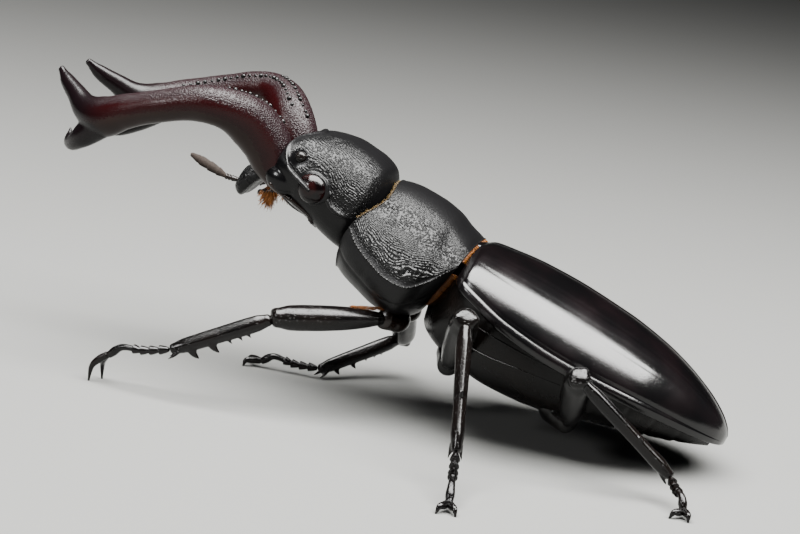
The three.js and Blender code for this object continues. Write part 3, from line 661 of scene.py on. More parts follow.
# %% The dome
ELYTRA_LENGTH, ELYTRA_HALF_WIDTH, ELYTRA_HEIGHT = 38, 14, 7.2
DOME = (1, 0.84, 0.3, 1)
DOME_ROWS = (
    (0, 0.66, 0.6, 0.67, -0.4),
    (0.03, 0.85, 0, 0.79, -0.9),
    (0.1, 0.925, -0.7, 0.87, -1.5),
    (0.22, 0.98, -1.6, 0.96, -2.3),
    (0.37, 1, -1.9, 1, -2.6),
    (0.52, 0.975, -1.6, 0.985, -2.3),
    (0.66, 0.89, -1.1, 0.91, -1.8),
    (0.79, 0.73, -0.7, 0.755, -1.4),
    (0.9, 0.52, -0.4, 0.53, -1.1),
    (0.965, 0.32, -0.2, 0.32, -0.8),
    (0.99, 0.18, -0.1, 0.19, -0.6),
    (1, 0.07, 0, 0.1, -0.4),
)


def scaled(sizes, rows):
    return [tuple(value * size for value, size in zip(row, sizes)) for row in rows]


DOME_STATIONS = scaled((ELYTRA_LENGTH, ELYTRA_HALF_WIDTH, 1, ELYTRA_HEIGHT, 1), DOME_ROWS)
MARGIN_GROOVE, MARGIN_BEAD = 0.13, 0.045  # angles above the side edge
LINES = ((0.62, 0.035), (0.78, 0.02), (0.98, 0.03), (1.2, 0.02))  # angle and depth of the long lines
SEAM = 0.06  # half of the gap between the wing cases


def wing_relief(angle, t, spot):
    if angle < -0.02:
        return 0
    side = min(angle, pi - angle)
    long = sin(pi * min(t, 1)) ** 0.3
    margin = 0.09 * peak(side, MARGIN_BEAD, 0.05) - 0.16 * peak(side, MARGIN_GROOVE, 0.035)
    lines = sum(depth * peak(side, at, 0.018) for at, depth in LINES)
    split = 0.1 * peak(abs(spot.x), 0.25, 0.22) - 0.1 * peak(abs(spot.x), 0.75, 0.25)
    return margin * long - lines * long + split


for name, side in SIDES:
    dome = plate(240, 170, DOME_STATIONS, DOME, (0, ELYTRA_LENGTH), None, wing_relief)
    everything = dome.verts[:] + dome.edges[:] + dome.faces[:]
    cut = bmesh.ops.bisect_plane(
        dome, geom=everything, plane_co=(side * SEAM, 0, 0), plane_no=(-side, 0, 0), clear_outer=True,
    )
    bmesh.ops.edgeloop_fill(dome, edges=edges_of(cut["geom_cut"]))
    show(f"wing_case_{name}", dome, TRUNK, wing_shell, "elytra", f"elytron_{name}", crease=60)

# %% [markdown]
# ## Hind thorax, belly and scutellum
#
# Under the wing cases lie the thorax that carries the hind legs and the belly with its rings. They are
# plates too. The rings are shallow grooves sunk into the net, and the two seams on the flank are thin
# raised lines.

# %% Thorax and belly
ELYTRA_WALL, BELLY_DEPTH = 1.1, 9.9
BODY = (1, 0.84, 0.95, 0.85)


def under(fraction):
    return fraction * ELYTRA_HEIGHT - ELYTRA_WALL


BODY_SIZES = (ELYTRA_LENGTH, ELYTRA_HALF_WIDTH, 1, 1, BELLY_DEPTH)
THORAX_STATIONS = scaled(BODY_SIZES, (
    (-0.062, 0.19, -0.8, 1, -0.27),
    (-0.032, 0.37, -1, 2.2, -0.74),
    (0.015, 0.67, -0.6, under(0.61), -0.86),
    (0.1, 0.83, -0.5, under(0.8), -0.95),
    (0.22, 0.9, -0.6, under(0.96), -1),
    (0.36, 0.92, -0.7, under(0.995), -0.95),
    (0.51, 0.905, -0.7, under(0.98), -0.81),
))
ABDOMEN_STATIONS = scaled(BODY_SIZES, (
    (0.505, 0.9, -0.7, under(0.975), -0.78),
    (0.6, 0.86, -0.7, under(0.94), -0.67),
    (0.7, 0.77, -0.6, under(0.86), -0.54),
    (0.8, 0.62, -0.5, under(0.73), -0.41),
    (0.9, 0.4, -0.4, under(0.5), -0.26),
    (0.96, 0.16, -0.3, under(0.3), -0.16),
))
BELLY_RINGS = (19.6, 22.6, 25.8, 29.2, 32.6)


def belly_relief(angle, t, spot):
    y = spot.y
    return sum(0.08 * peak(y, ring - 0.6, 0.5) - 0.16 * peak(y, ring, 0.2) for ring in BELLY_RINGS)


def thorax_relief(angle, t, spot):
    if spot.z > -0.8:
        return 0
    flank = -0.14 * peak(spot.y - 0.12 * spot.z, 6.6, 0.25)
    return flank - 0.2 * peak(spot.x, 0, 0.3)


thorax = plate(140, 90, THORAX_STATIONS, BODY, (-2.36, 0.51 * ELYTRA_LENGTH), None, thorax_relief)
show("thorax_shell", thorax, TRUNK, belly_shell, "underside", "hind_thorax")
belly_ends = (0.505 * ELYTRA_LENGTH, 0.965 * ELYTRA_LENGTH)
belly = plate(140, 90, ABDOMEN_STATIONS, BODY, belly_ends, None, belly_relief)
show("belly_rings", belly, TRUNK, belly_shell, "underside", "abdomen")

FLANK_SEAMS = (  # (way along the thorax, angle of its section in degrees)
    ((0.53, -15.5), (0.62, -14.6), (0.75, -13), (0.88, -11.2)),
    ((0.55, -35), (0.66, -31), (0.78, -26), (0.92, -21)),
)
SEAM_LIFT = 0.02

seams = bmesh.new()
for seam in FLANK_SEAMS:
    for _, side in SIDES:
        line = [off_plate(THORAX_STATIONS, BODY, radians(a), t, SEAM_LIFT) for t, a in seam]
        limb(seams, vectors(line, side), spindle(0.1, 0.06, 0.5), UP, 1, 8, 30)
show("flank_seams", seams, TRUNK, leg_shell, "underside")

# %% Scutellum
PLATE = (1, 0.8, 0.6, 0.8)
SCUTELLUM_STATIONS = (
    (-0.5, 2.1, 4.2, 4.75, 3.8),
    (0.8, 2.2, 4.6, 5.4, 4.1),
    (2.2, 1.4, 5, 5.7, 4.6),
    (3.1, 0.3, 5.3, 5.75, 4.9),
)
shield = plate(48, 30, SCUTELLUM_STATIONS, PLATE, (-0.5, 3.3))
show("scutellum_shield", shield, TRUNK, wing_shell, "elytra", "scutellum")

# %% [markdown]
# ## Pronotum
#
# The pronotum is a ring round the front of the trunk: a grained shield above, with a sharp side edge,
# and smooth plates below. A number on each point of its net, the grain attribute, tells the material
# how coarse the grains are there. They are coarse on the sides and fade towards the middle.

# %% The shield
PRONOTUM_LENGTH, PRONOTUM_HALF_WIDTH = 13.6, 10.5
PRONOTUM = (1, 0.9, 1, 1.1)
PRONOTUM_STATIONS = scaled((-PRONOTUM_LENGTH, PRONOTUM_HALF_WIDTH, 1, 1, 1), (
    (0, 0.8, 2.9, 4.9, -5.6),
    (0.05, 0.84, 1.9, 5.3, -6.6),
    (0.16, 0.89, -0.6, 5.9, -7.7),
    (0.31, 1, -2.4, 6.6, -8.5),
    (0.5, 0.96, -2.8, 6.9, -8.8),
    (0.69, 0.89, -2.4, 6.8, -8.4),
    (0.84, 0.81, -1.6, 6.4, -7.9),
    (0.91, 0.75, -0.5, 6, -7.4),
))
CORNER_REACH, THROAT_REACH, NOTCH_REACH, SHOULDER_SETBACK = 1.5, 1.1, 1.5, 0.75


def pronotum_edge(angle, t):
    low = max(-sin(angle), 0)
    front, hind = max(t - 0.72, 0) / 0.28, max(0.4 - t, 0) / 0.4
    corner = CORNER_REACH * cos(angle) ** 4
    if angle > 0:
        corner -= SHOULDER_SETBACK * sin(2 * angle) ** 2
    return -front * (corner + THROAT_REACH * low) - hind * NOTCH_REACH * low


def pronotum_relief(angle, t, spot):
    side = min(abs(angle), pi - abs(angle))
    from_edge = angle if angle < pi / 2 else pi - angle
    edge, gutter = 0.1 * peak(from_edge, 0, 0.02), -0.12 * peak(from_edge, 0.07, 0.05)
    rims = 0.12 * peak(t, 0, 0.03) + 0.1 * peak(t, 1, 0.025)
    dimple = -0.25 * peak(spot.x, 6.2, 1.3) * peak(spot.y, -3.2, 1) * (angle > 0)
    fold = -0.12 * peak(side, 0.5, 0.05) * (angle < 0)
    return edge + gutter + rims + dimple + fold


def pronotum_grain(angle, t, spot):
    if angle < 0:
        return 0
    reach = abs(spot.x) / PRONOTUM_HALF_WIDTH
    side = float(smoothstep(0.3, 0.74, reach + 0.16 * (t - 0.5)))
    return side * float(smoothstep(0.03, 0.12, min(angle, pi - angle)))


def pronotum_rows(angle, t, spot):
    """Rows follow the side edge, wider apart near it, and bow round the hollow of the flank."""
    up = min(abs(angle), pi - abs(angle))
    away = 9 * up + 1.4 * peak(t, 0, 0.25) - 1.5 * peak(t, 0.35, 0.17) * peak(up, 0.5, 0.3)
    return away / (0.24 + 0.15 * math.exp(-away / 3.5))


SOCKETS = (-3.6, -8.2)  # the hollows that the trunk and the head sit in reach this far
shield = plate(
    280, 150, PRONOTUM_STATIONS, PRONOTUM, SOCKETS, pronotum_edge, pronotum_relief,
    grain=pronotum_grain, rows=pronotum_rows,
)
show("pronotum_shield", shield, PROTHORAX, granular_shell, "granular_shell", "pronotum", crease=45)

# %% Beads along its side edge
EDGE_BEADS = 34  # on each side
edge_beads = bmesh.new()
for k in range(EDGE_BEADS):
    t = 0.13 + 0.83 * k / EDGE_BEADS
    y, wide, edge, _, _ = section_at(PRONOTUM_STATIONS, t)
    for angle in (0, pi):
        spot = Vector((cos(angle) * (wide + 0.12), y + pronotum_edge(angle, t), edge))
        bead(edge_beads, spot, 0.11 + 0.03 * sin(k * 2.3), (1, 1.3, 1))
show("edge_beads", edge_beads, PROTHORAX, leg_shell, "granular_shell")

# %% [markdown]
# ## Head
#
# The head is a plate with several things on it: a ridge that runs over the eye, a rim round the eye, a
# round knob in front of it and the sockets of the mandibles. Each could be a piece of its own, but on
# the animal they grow out of one shell. So the closed shapes are put into one mesh, melted together by
# the Remesh modifier and softened by Smooth, which leaves a small hollow wherever two of them meet.

# %% The head's shell
HEAD_HALF_WIDTH, EYE_RADIUS, EYE_FLAT = 7.4, 1.8, 0.85
HEAD_SQUARE = (0.9, 0.72, 0.85, 0.75)
HEAD_STATIONS = scaled((1, HEAD_HALF_WIDTH, 1, 1, 1), (
    (0.5, 0.5, 0.8, 3.6, -3),
    (-0.6, 0.78, 1, 5.6, -4.6),
    (-1.8, 0.91, 1.2, 6.8, -5),
    (-4, 0.96, 1.4, 7.3, -4.7),
    (-6.5, 0.99, 1.5, 7.3, -4.1),
    (-9, 1, 1.5, 6.8, -3.8),
    (-11.2, 0.98, 1.4, 5.9, -3.3),
    (-12.8, 0.9, 1.3, 4.8, -2.6),
    (-13.5, 0.76, 1.2, 3.6, -1.7),
))
CANTHUS = ((8, -11.1, 1.8), (8.45, -10.2, 1.6), (8.8, -9.1, 1.45), (8.95, -7.9, 1.2), (8.9, -7, 0.95))
HALF_RIM = (
    (8, -11.1, 1.8), (7.2, -12.1, 2.5), (5.8, -12.85, 3.4), (4.2, -12.6, 4.5), (2.4, -11.8, 5.4),
    (0, -11.2, 5.8),
)
FRONT_RIM = vectors(HALF_RIM) + vectors(HALF_RIM[-2::-1], -1)
CHEEK_EDGE = ((7.35, -5.1, 1.4), (7.5, -4.6, 0.7), (7.3, -3.7, 0.2), (6.95, -2.5, 0.1), (6.4, -1.3, 0.3))
CHEEK_BEAD, SOCKET_BEAD = (7.45, -5.05, 1.45), (5.85, -11.3, -0.7)
KNOB_AT, KNOB_RADIUS = (6.75, -10.55, 3.25), 0.74
EYE = Vector(EYE_AT) + Vector((0.2, 0.7, 0.1))  # the lens lies a little behind the solid's middle
ORBIT_ANGLES = [radians(-70 + 215 * k / 8) for k in range(9)]  # round behind the eye and over it
ORBIT = [EYE + Vector((0.5, cos(a) * 1.92, sin(a) * 1.86)) for a in ORBIT_ANGLES]


def head_relief(angle, t, spot):
    if spot.z < 0:
        return -0.18 * peak(spot.x, 0, 0.25) * (spot.y < -3)
    brow = 0.3 * peak(abs(spot.x), 5.2, 1.2) * peak(spot.y, -11.4, 1.6)
    trough = -0.35 * peak(spot.x, 0, 2.6) * peak(spot.y, -11.6, 1.8)
    pit = -0.3 * peak(abs(spot.x), 6.9, 0.9) * peak(spot.y, -10.6, 1) * peak(spot.z, 3.1, 1.4)
    return brow + trough + pit


head_body = plate(150, 110, HEAD_STATIONS, HEAD_SQUARE, (1.3, -13.5), None, head_relief)
for _, side in SIDES:
    limb(head_body, vectors(CANTHUS, side), (0.24, 0.28, 0.3, 0.28, 0.2), UP, 1.6, 20, 50)
    limb(head_body, vectors(CHEEK_EDGE, side), (0.2, 0.26, 0.3, 0.26, 0.15), UP, 1, 16, 40)
    limb(head_body, vectors(ORBIT, side), spindle(0.3, 0.1, 0.5), OUT, 1, 12, 60)
    bead(head_body, mirrored(CHEEK_BEAD, side), 0.38, segments=20)
    bead(head_body, mirrored(SOCKET_BEAD, side), 1.5, (1, 1.6, 1.25), 40)
limb(head_body, FRONT_RIM, spindle(0.26, 0.1, 0.4), BACK, 1, 16, 90)
head_skin = fused("head_shell", head_body, HEAD, 0.15, 4)

# %% Where its grains and its gloss lie
KNOB_INSIDE = 5.6  # the knobs lie further out than this
spots = local_array(head_skin, HEAD)
x, y, z = np.abs(spots[:, 0]), spots[:, 1], spots[:, 2]
edge_line = sorted((y0, z0) for _, y0, z0 in CANTHUS + CHEEK_EDGE)
rim_line = sorted((x0, y0) for x0, y0, _ in HALF_RIM)
over_edge, behind_rim = z - np.interp(y, *zip(*edge_line)), y - np.interp(x, *zip(*rim_line))
from_eye = np.hypot(y - EYE.y, z - EYE.z)
from_knob = np.hypot(y - KNOB_AT[1], z - KNOB_AT[2])
under_knob = np.hypot(y - KNOB_AT[1], z - KNOB_AT[2] + 0.2) + 4 * (x < KNOB_INSIDE)
cheek = smoothstep(1.2, 5.4, x + 0.25 * (-2.5 - y)) * smoothstep(0, -0.9, y)
clear = smoothstep(2.1, 2.5, from_eye) * smoothstep(0.9, 1.5, under_knob)
within = smoothstep(-0.1, 0.3, over_edge) * smoothstep(0.4, 1.2, behind_rim)
store(head_skin, "grain", np.maximum(cheek, 0.1) * clear * within)
store(head_skin, "rows", (z - 0.8 * x + 0.25 * y) / 0.36)
front_cheek = smoothstep(-8.6, -9.6, y) * smoothstep(0.1, -0.4, over_edge)
store(head_skin, "gloss", np.maximum(front_cheek, smoothstep(1.7, 1.1, from_knob) * (x > KNOB_INSIDE)))
show_mesh("head_shell", head_skin, granular_shell, "granular_shell", "head")

# %% Knobs in front of the eyes
knobs = bmesh.new()
for _, side in SIDES:
    bead(knobs, mirrored(KNOB_AT, side), KNOB_RADIUS, (0.8, 1, 1), 32)
show("brow_knobs", knobs, HEAD, leg_shell, "granular_shell")

# %% [markdown]
# ## Eyes
#
# An insect's eye is a lens of many facets. The ball is a little flattened, with a shallow groove round
# its foot, and the facets are left to the finish, because each is finer than a hair.

# %% The lenses
EYE_GROWTH = 1.1  # the lens over the solid's radius
for name, side in SIDES:
    lens = bmesh.new()
    flat = Matrix.Diagonal((EYE_FLAT, 1, 1, 1))
    at = Matrix.Translation(mirrored(EYE, side)) @ flat @ turned((90, "Y"))
    bmesh.ops.create_uvsphere(lens, u_segments=72, v_segments=48, radius=EYE_RADIUS * EYE_GROWTH)
    for vert in lens.verts:
        vert.co *= 1 - 0.03 * peak(abs(vert.co.z) / EYE_RADIUS, 0.28, 0.07)
    bmesh.ops.transform(lens, matrix=at, verts=lens.verts)
    show(f"eye_lens_{name}", lens, HEAD, eye_material, "eye", f"eye_{name}")

# %% [markdown]
# ## Mandibles
#
# A mandible is a bent shaft that forks in two. The shaft and the lower prong are two limbs, melted into
# one skin so that the fork is smooth. The colours lie in bands along the shaft. After the melting, each
# point looks up the nearest place on the centre line and stores how high it lies there, as the band
# attribute, and how far along it is.

# %% Centre lines
SHAFT = (
    (4.4, -12, -0.7), (4.6, -14.1, 0.3), (5.1, -15.8, 1.8), (6, -17.8, 2.9), (7.4, -19.6, 3.5),
    (8.7, -21.3, 3.5), (9.5, -23.1, 3), (9.7, -25.3, 1.8), (9.7, -27.6, 0), (9.4, -30, -2),
    (8.8, -32.4, -4.2), (7.7, -34.9, -6.7),
)
UPPER_PRONG = ((6.5, -37.8, -7.5), (5.2, -40.4, -7.1), (4, -42.8, -6.7), (3.2, -44.6, -6.1))
LOWER_PRONG = (
    (9, -32.4, -4.7), (7.8, -34.9, -7.8), (7, -36.4, -10.5),
    (5.8, -37.6, -12.4), (4.4, -38.8, -12.9), (3.55, -39.5, -11.95),
)
SHAFT_RADII = (2.4, 2.75, 3.1, 3.2, 2.95, 2.6, 2.4, 2.2, 2.05, 2.05, 2.25, 2.6, 1.9, 1.35, 1, 0.5)
PRONG_RADII = (1.5, 2.05, 1.75, 1.2, 0.75, 0.3)
SHAFT_FLAT, PRONG_FLAT = 0.82, 0.7
MANDIBLE_TURN = {"left": (0, 0, 0), "right": (-1.25, 4.5, -1)}  # degrees about Z, Y and X
SHAFT_RINGS = 150
FORK = 0.66  # where the lower prong leaves the shaft
CREST_BEADS = ((24, 0.2, 0.48, 128), (12, 0.16, 0.2, 100))  # count, start, reach and angle of a row
CHUNK = 4000  # points compared with the centre lines at a time


def shaft_section(angle, t):
    """A blunt ridge along the inner upper edge and a flatter face under it."""
    ridge = peak(angle, radians(125), 0.35)
    return 1 + 0.05 * ridge * sin(pi * min(t / 0.8, 1))


def bands(mesh, matrix, shaft, prong):
    """Stores each point's height over the nearest centre line, in its radii, and its way along."""
    spots, rings = local_array(mesh, matrix), shaft + prong
    centres, rises = np.array([ring.centre for ring in rings]), np.array([ring.rise for ring in rings])
    sizes = np.array([ring.radius for ring in rings])
    ways = np.array([ring.t for ring in shaft] + [FORK * (1 + ring.t) for ring in prong])
    best = np.empty(len(spots), int)
    for start in range(0, len(spots), CHUNK):
        part = spots[start:start + CHUNK]
        gap = np.linalg.norm(part[:, None, :] - centres[None, :, :], axis=2) / (sizes[None, :] + 0.3)
        best[start:start + CHUNK] = gap.argmin(axis=1)
    store(mesh, "band", ((spots - centres[best]) * rises[best]).sum(1) / (sizes[best] + 0.1))
    store(mesh, "along", ways[best])


for name, side in SIDES:
    hinge = mirrored(SHAFT[0], side)
    turn = turned(*zip(MANDIBLE_TURN[name], "ZYX"))
    at = HEAD @ Matrix.Translation(hinge) @ turn @ Matrix.Translation(-hinge)
    body = bmesh.new()
    line = vectors(SHAFT + UPPER_PRONG, side)
    shaft = limb(body, line, SHAFT_RADII, UP, SHAFT_FLAT, 44, SHAFT_RINGS, shaft_section)
    prong = limb(body, vectors(LOWER_PRONG, side), PRONG_RADII, UP, PRONG_FLAT, 32, 60)
    skin = fused(f"mandible_body_{name}", body, at, 0.17, 6)
    bands(skin, at, shaft, prong)
    show_mesh(f"mandible_body_{name}", skin, mandible_shell, "mandible", f"mandible_{name}")
    beads = bmesh.new()
    rows = [[(start + reach * k / n, angle) for k in range(n)] for n, start, reach, angle in CREST_BEADS]
    for k, (t, angle) in enumerate(sum(rows, [])):
        ring = shaft[round(t * SHAFT_RINGS)]
        spin = radians(angle if side > 0 else 180 - angle)
        out = ring.side * cos(spin) * SHAFT_FLAT + ring.rise * sin(spin)
        size = 0.26 + 0.07 * sin(k * 1.9)
        bead(beads, ring.centre + out * ring.radius, size, segments=10)
    show(f"mandible_beads_{name}", beads, at, leg_shell, "mandible")

# %% [markdown]
# ## Mouth and feelers
#
# Between the mandibles lie the labrum, the palps and two orange brushes with which the beetle licks
# sap. The left feeler is folded under the head and the right one reaches forward.

# %% Labrum, mentum and palps
LABRUM_STATIONS = (
    (-14.2, 2.8, -1.4, 0, -2.6),
    (-15.1, 2.8, -2.6, -1, -4.4),
    (-16.3, 2.6, -4, -2.1, -7.1),
    (-17.5, 1.7, -4.7, -3.3, -6.6),
)
MENTUM_STATIONS = (
    (-7.8, 2.4, -3.9, -3.4, -4.2),
    (-9.4, 3, -3.6, -3, -4.2),
    (-11.3, 2.6, -3.3, -2.7, -3.9),
)


def lip_rows(angle, t, spot):
    return spot.x / 0.4


def lip_relief(angle, t, spot):
    hollow = -0.45 * peak(spot.x, 0, 1) * sin(pi * min(t + 0.1, 1))
    return hollow + 0.15 * peak(t, 0.8, 0.15)


maps = {"grain": lambda *_: 0.9, "rows": lip_rows}
lip = plate(72, 48, LABRUM_STATIONS, PLATE, (-14.2, -17.7), None, lip_relief, **maps)
show("labrum_plate", lip, HEAD, granular_shell, "granular_shell", "labrum")
maps["grain"] = lambda *_: 0.4
chin = plate(60, 36, MENTUM_STATIONS, PLATE, (-7.8, -11.3), **maps)
show("mentum_plate", chin, HEAD, granular_shell, "granular_shell", "mentum")


def stem(name, node, points, radius, flat, around, along, material=stem_shell, slot="antenna_stem"):
    """A piece of the head that is one limb."""
    bm = bmesh.new()
    limb(bm, points, radius, UP, flat, around, along)
    show(name, bm, HEAD, material, slot, node)


PALP = ((3, -12.2, -3.3), (3.2, -12.9, -3.8), (3.1, -13.6, -4.3), (2.7, -14, -4.9))
PALP_RADII = (0.28, 0.34, 0.22, 0.36, 0.22, 0.34, 0.2)
for name, side in SIDES:
    stem(f"palp_stem_{name}", f"palp_{name}", vectors(PALP, side), PALP_RADII, 1, 18, 40)

# %% Feelers
ANTENNAE = {
    "left": (
        ((7, -12.2, -1.7), (6.5, -10.3, -2.1), (6.1, -8.3, -2.2), (5.6, -6.2, -2.6)),
        ((4.9, -5.8, -3.2), (2, -5.7, -4.2)),
        ((1.1, -5.9, -4.5), (-3.6, -7, -4.5)),
    ),
    "right": (
        ((-7, -12, -1.3), (-8, -14.2, -4), (-7.7, -17, -6.8)),
        ((-7.6, -17.7, -7.3), (-7.5, -20.6, -8.5)),
        ((-7.5, -21.6, -8.8), (-8, -27.3, -9.2)),
    ),
}
SCAPE_RADII, CLUB_RADII = (0.24, 0.24, 0.27, 0.34, 0.3), (0.34, 0.6, 0.66, 0.62, 0.3)
FUNICLE_BEADS, CLUB_LEAVES = 7, 4
ALMOST = 0.999  # keeps the end of a limb within its last segment


def saw(count, t):
    """Rises over each of count segments and drops at its end."""
    u = (t * count) % 1
    return u ** 0.7 * (1 - float(smoothstep(0.86, 1, u)))


def funicle_radius(t):
    return 0.24 + 0.2 * saw(FUNICLE_BEADS, t * ALMOST)


def club_radius(t):
    return run(CLUB_RADII, t) * (0.86 + 0.2 * saw(CLUB_LEAVES, t * ALMOST))


for name, (scape, funicle, club) in ANTENNAE.items():
    stem(f"scape_stem_{name}", f"scape_{name}", vectors(scape), SCAPE_RADII, 1, 20, 50)
    line = vectors(scape[-1:] + funicle + club[:1])
    stem(f"funicle_stem_{name}", f"funicle_{name}", line, funicle_radius, 1, 16, 72)
    line = vectors(club)
    stem(f"club_leaves_{name}", f"club_{name}", line, club_radius, 0.7, 24, 80, club_felt, "antenna_club")

# %% [markdown]
# ## Legs
#
# Each leg has a hip, a thigh, a shin with teeth and two spurs, a foot of five segments and a pair of
# claws. One loop makes all six from the points where the joints lie. The shin is ridged lengthwise, and
# the foot's segments widen towards their ends, like stacked bells.

# %% Sizes of the legs
LEG_PAIRS = {
    # The hip's frame, its middle and its joint on the left, the thickness of thigh and shin,
    # the places of the teeth and the radii along the shin.
    "fore": (
        PROTHORAX, ((3.4, -3.4, -8.2), (6.2, -4.4, -8.2)), 1.5, 1,
        (0.22, 0.31, 0.42, 0.57, 0.78), (0.75, 0.98, 1, 0.98, 0.95, 0.94, 0.92, 0.88, 0.68),
    ),
    "mid": (
        TRUNK, ((4.3, 4, -8.6), (6.9, 4.6, -9.4)), 1.75, 0.95,
        (0.55,), (0.85, 1.12, 1.1, 1.02, 0.98, 0.92, 0.9, 0.95, 0.75),
    ),
    "hind": (
        TRUNK, ((4.8, 18, -7.4), (7.6, 20.6, -7.4)), 1.65, 0.85,
        (0.6,), (0.85, 1.15, 1.18, 1.15, 1.1, 1.08, 1.1, 1.15, 0.85),
    ),
}
LEGS = {  # knee, ankle, sole and toe in the animal's frame, and the length of a tooth
    "fore_left": (
        (13, -19.9, -6.4), (15, -31.8, -12.2),
        (13.6, -40.2, -14.8), (12.6, -42, -18.6), -1,
    ),
    "fore_right": (
        (-16.6, -9.6, -13.3), (-7.4, -18.2, -17.2),
        (-7.6, -26.2, -17.7), (-7.7, -28.4, -18.6), -0.75,
    ),
    "mid_left": (
        (19, 4.1, -0.9), (27.8, 6.6, -14),
        (35.2, 7.8, -17.7), (37.6, 8, -18.6), 0.6,
    ),
    "mid_right": (
        (-19, 2.6, -4.6), (-26.6, 9, -15.8),
        (-32.4, 13.2, -17.7), (-34.2, 14.4, -18.6), 0.6,
    ),
    "hind_left": (
        (18.4, 18.1, -5.4), (17, 30.1, -15.2),
        (21, 32.5, -17.7), (22.8, 32.3, -18.6), 0.6,
    ),
    "hind_right": (
        (-19.6, 15.4, -9.4), (-22.8, 25.2, -16),
        (-25.8, 28, -17.7), (-27.4, 29, -18.6), 0.6,
    ),
}
FEMUR_RADII = (0.55, 0.74, 0.9, 1, 1.05, 1.08, 1.08, 1.04, 0.82)
CLAW_SEGMENT, CLAW_RADII = (0.36, 0.4, 0.46, 0.54, 0.46), (0.44, 0.48, 0.42, 0.3, 0.13)
COXA_SIZE = (2.4, 1.8, 1.6)
HIP_CLEARANCE, ANKLE_CLEARANCE, JOINT_GAP = 0.9, 0.3, 0.22
PAD_SHARE, PADS = 0.47, 4  # the foot's segments before the one with the claws


def femur_section(angle, t):
    """A flat groove along the lower side, into which the shin folds."""
    return 1 - 0.13 * peak(abs(angle) - pi, 0, 0.5) * sin(pi * t)


def tibia_section(angle, t):
    """Four blunt ridges."""
    return 1 + 0.07 * cos(4 * angle) * sin(pi * t) ** 0.4


def foot_radius(t):
    if t < PAD_SHARE:
        return 0.3 + 0.34 * saw(PADS, t / PAD_SHARE * ALMOST)
    return run(CLAW_SEGMENT, (t - PAD_SHARE) / (1 - PAD_SHARE))


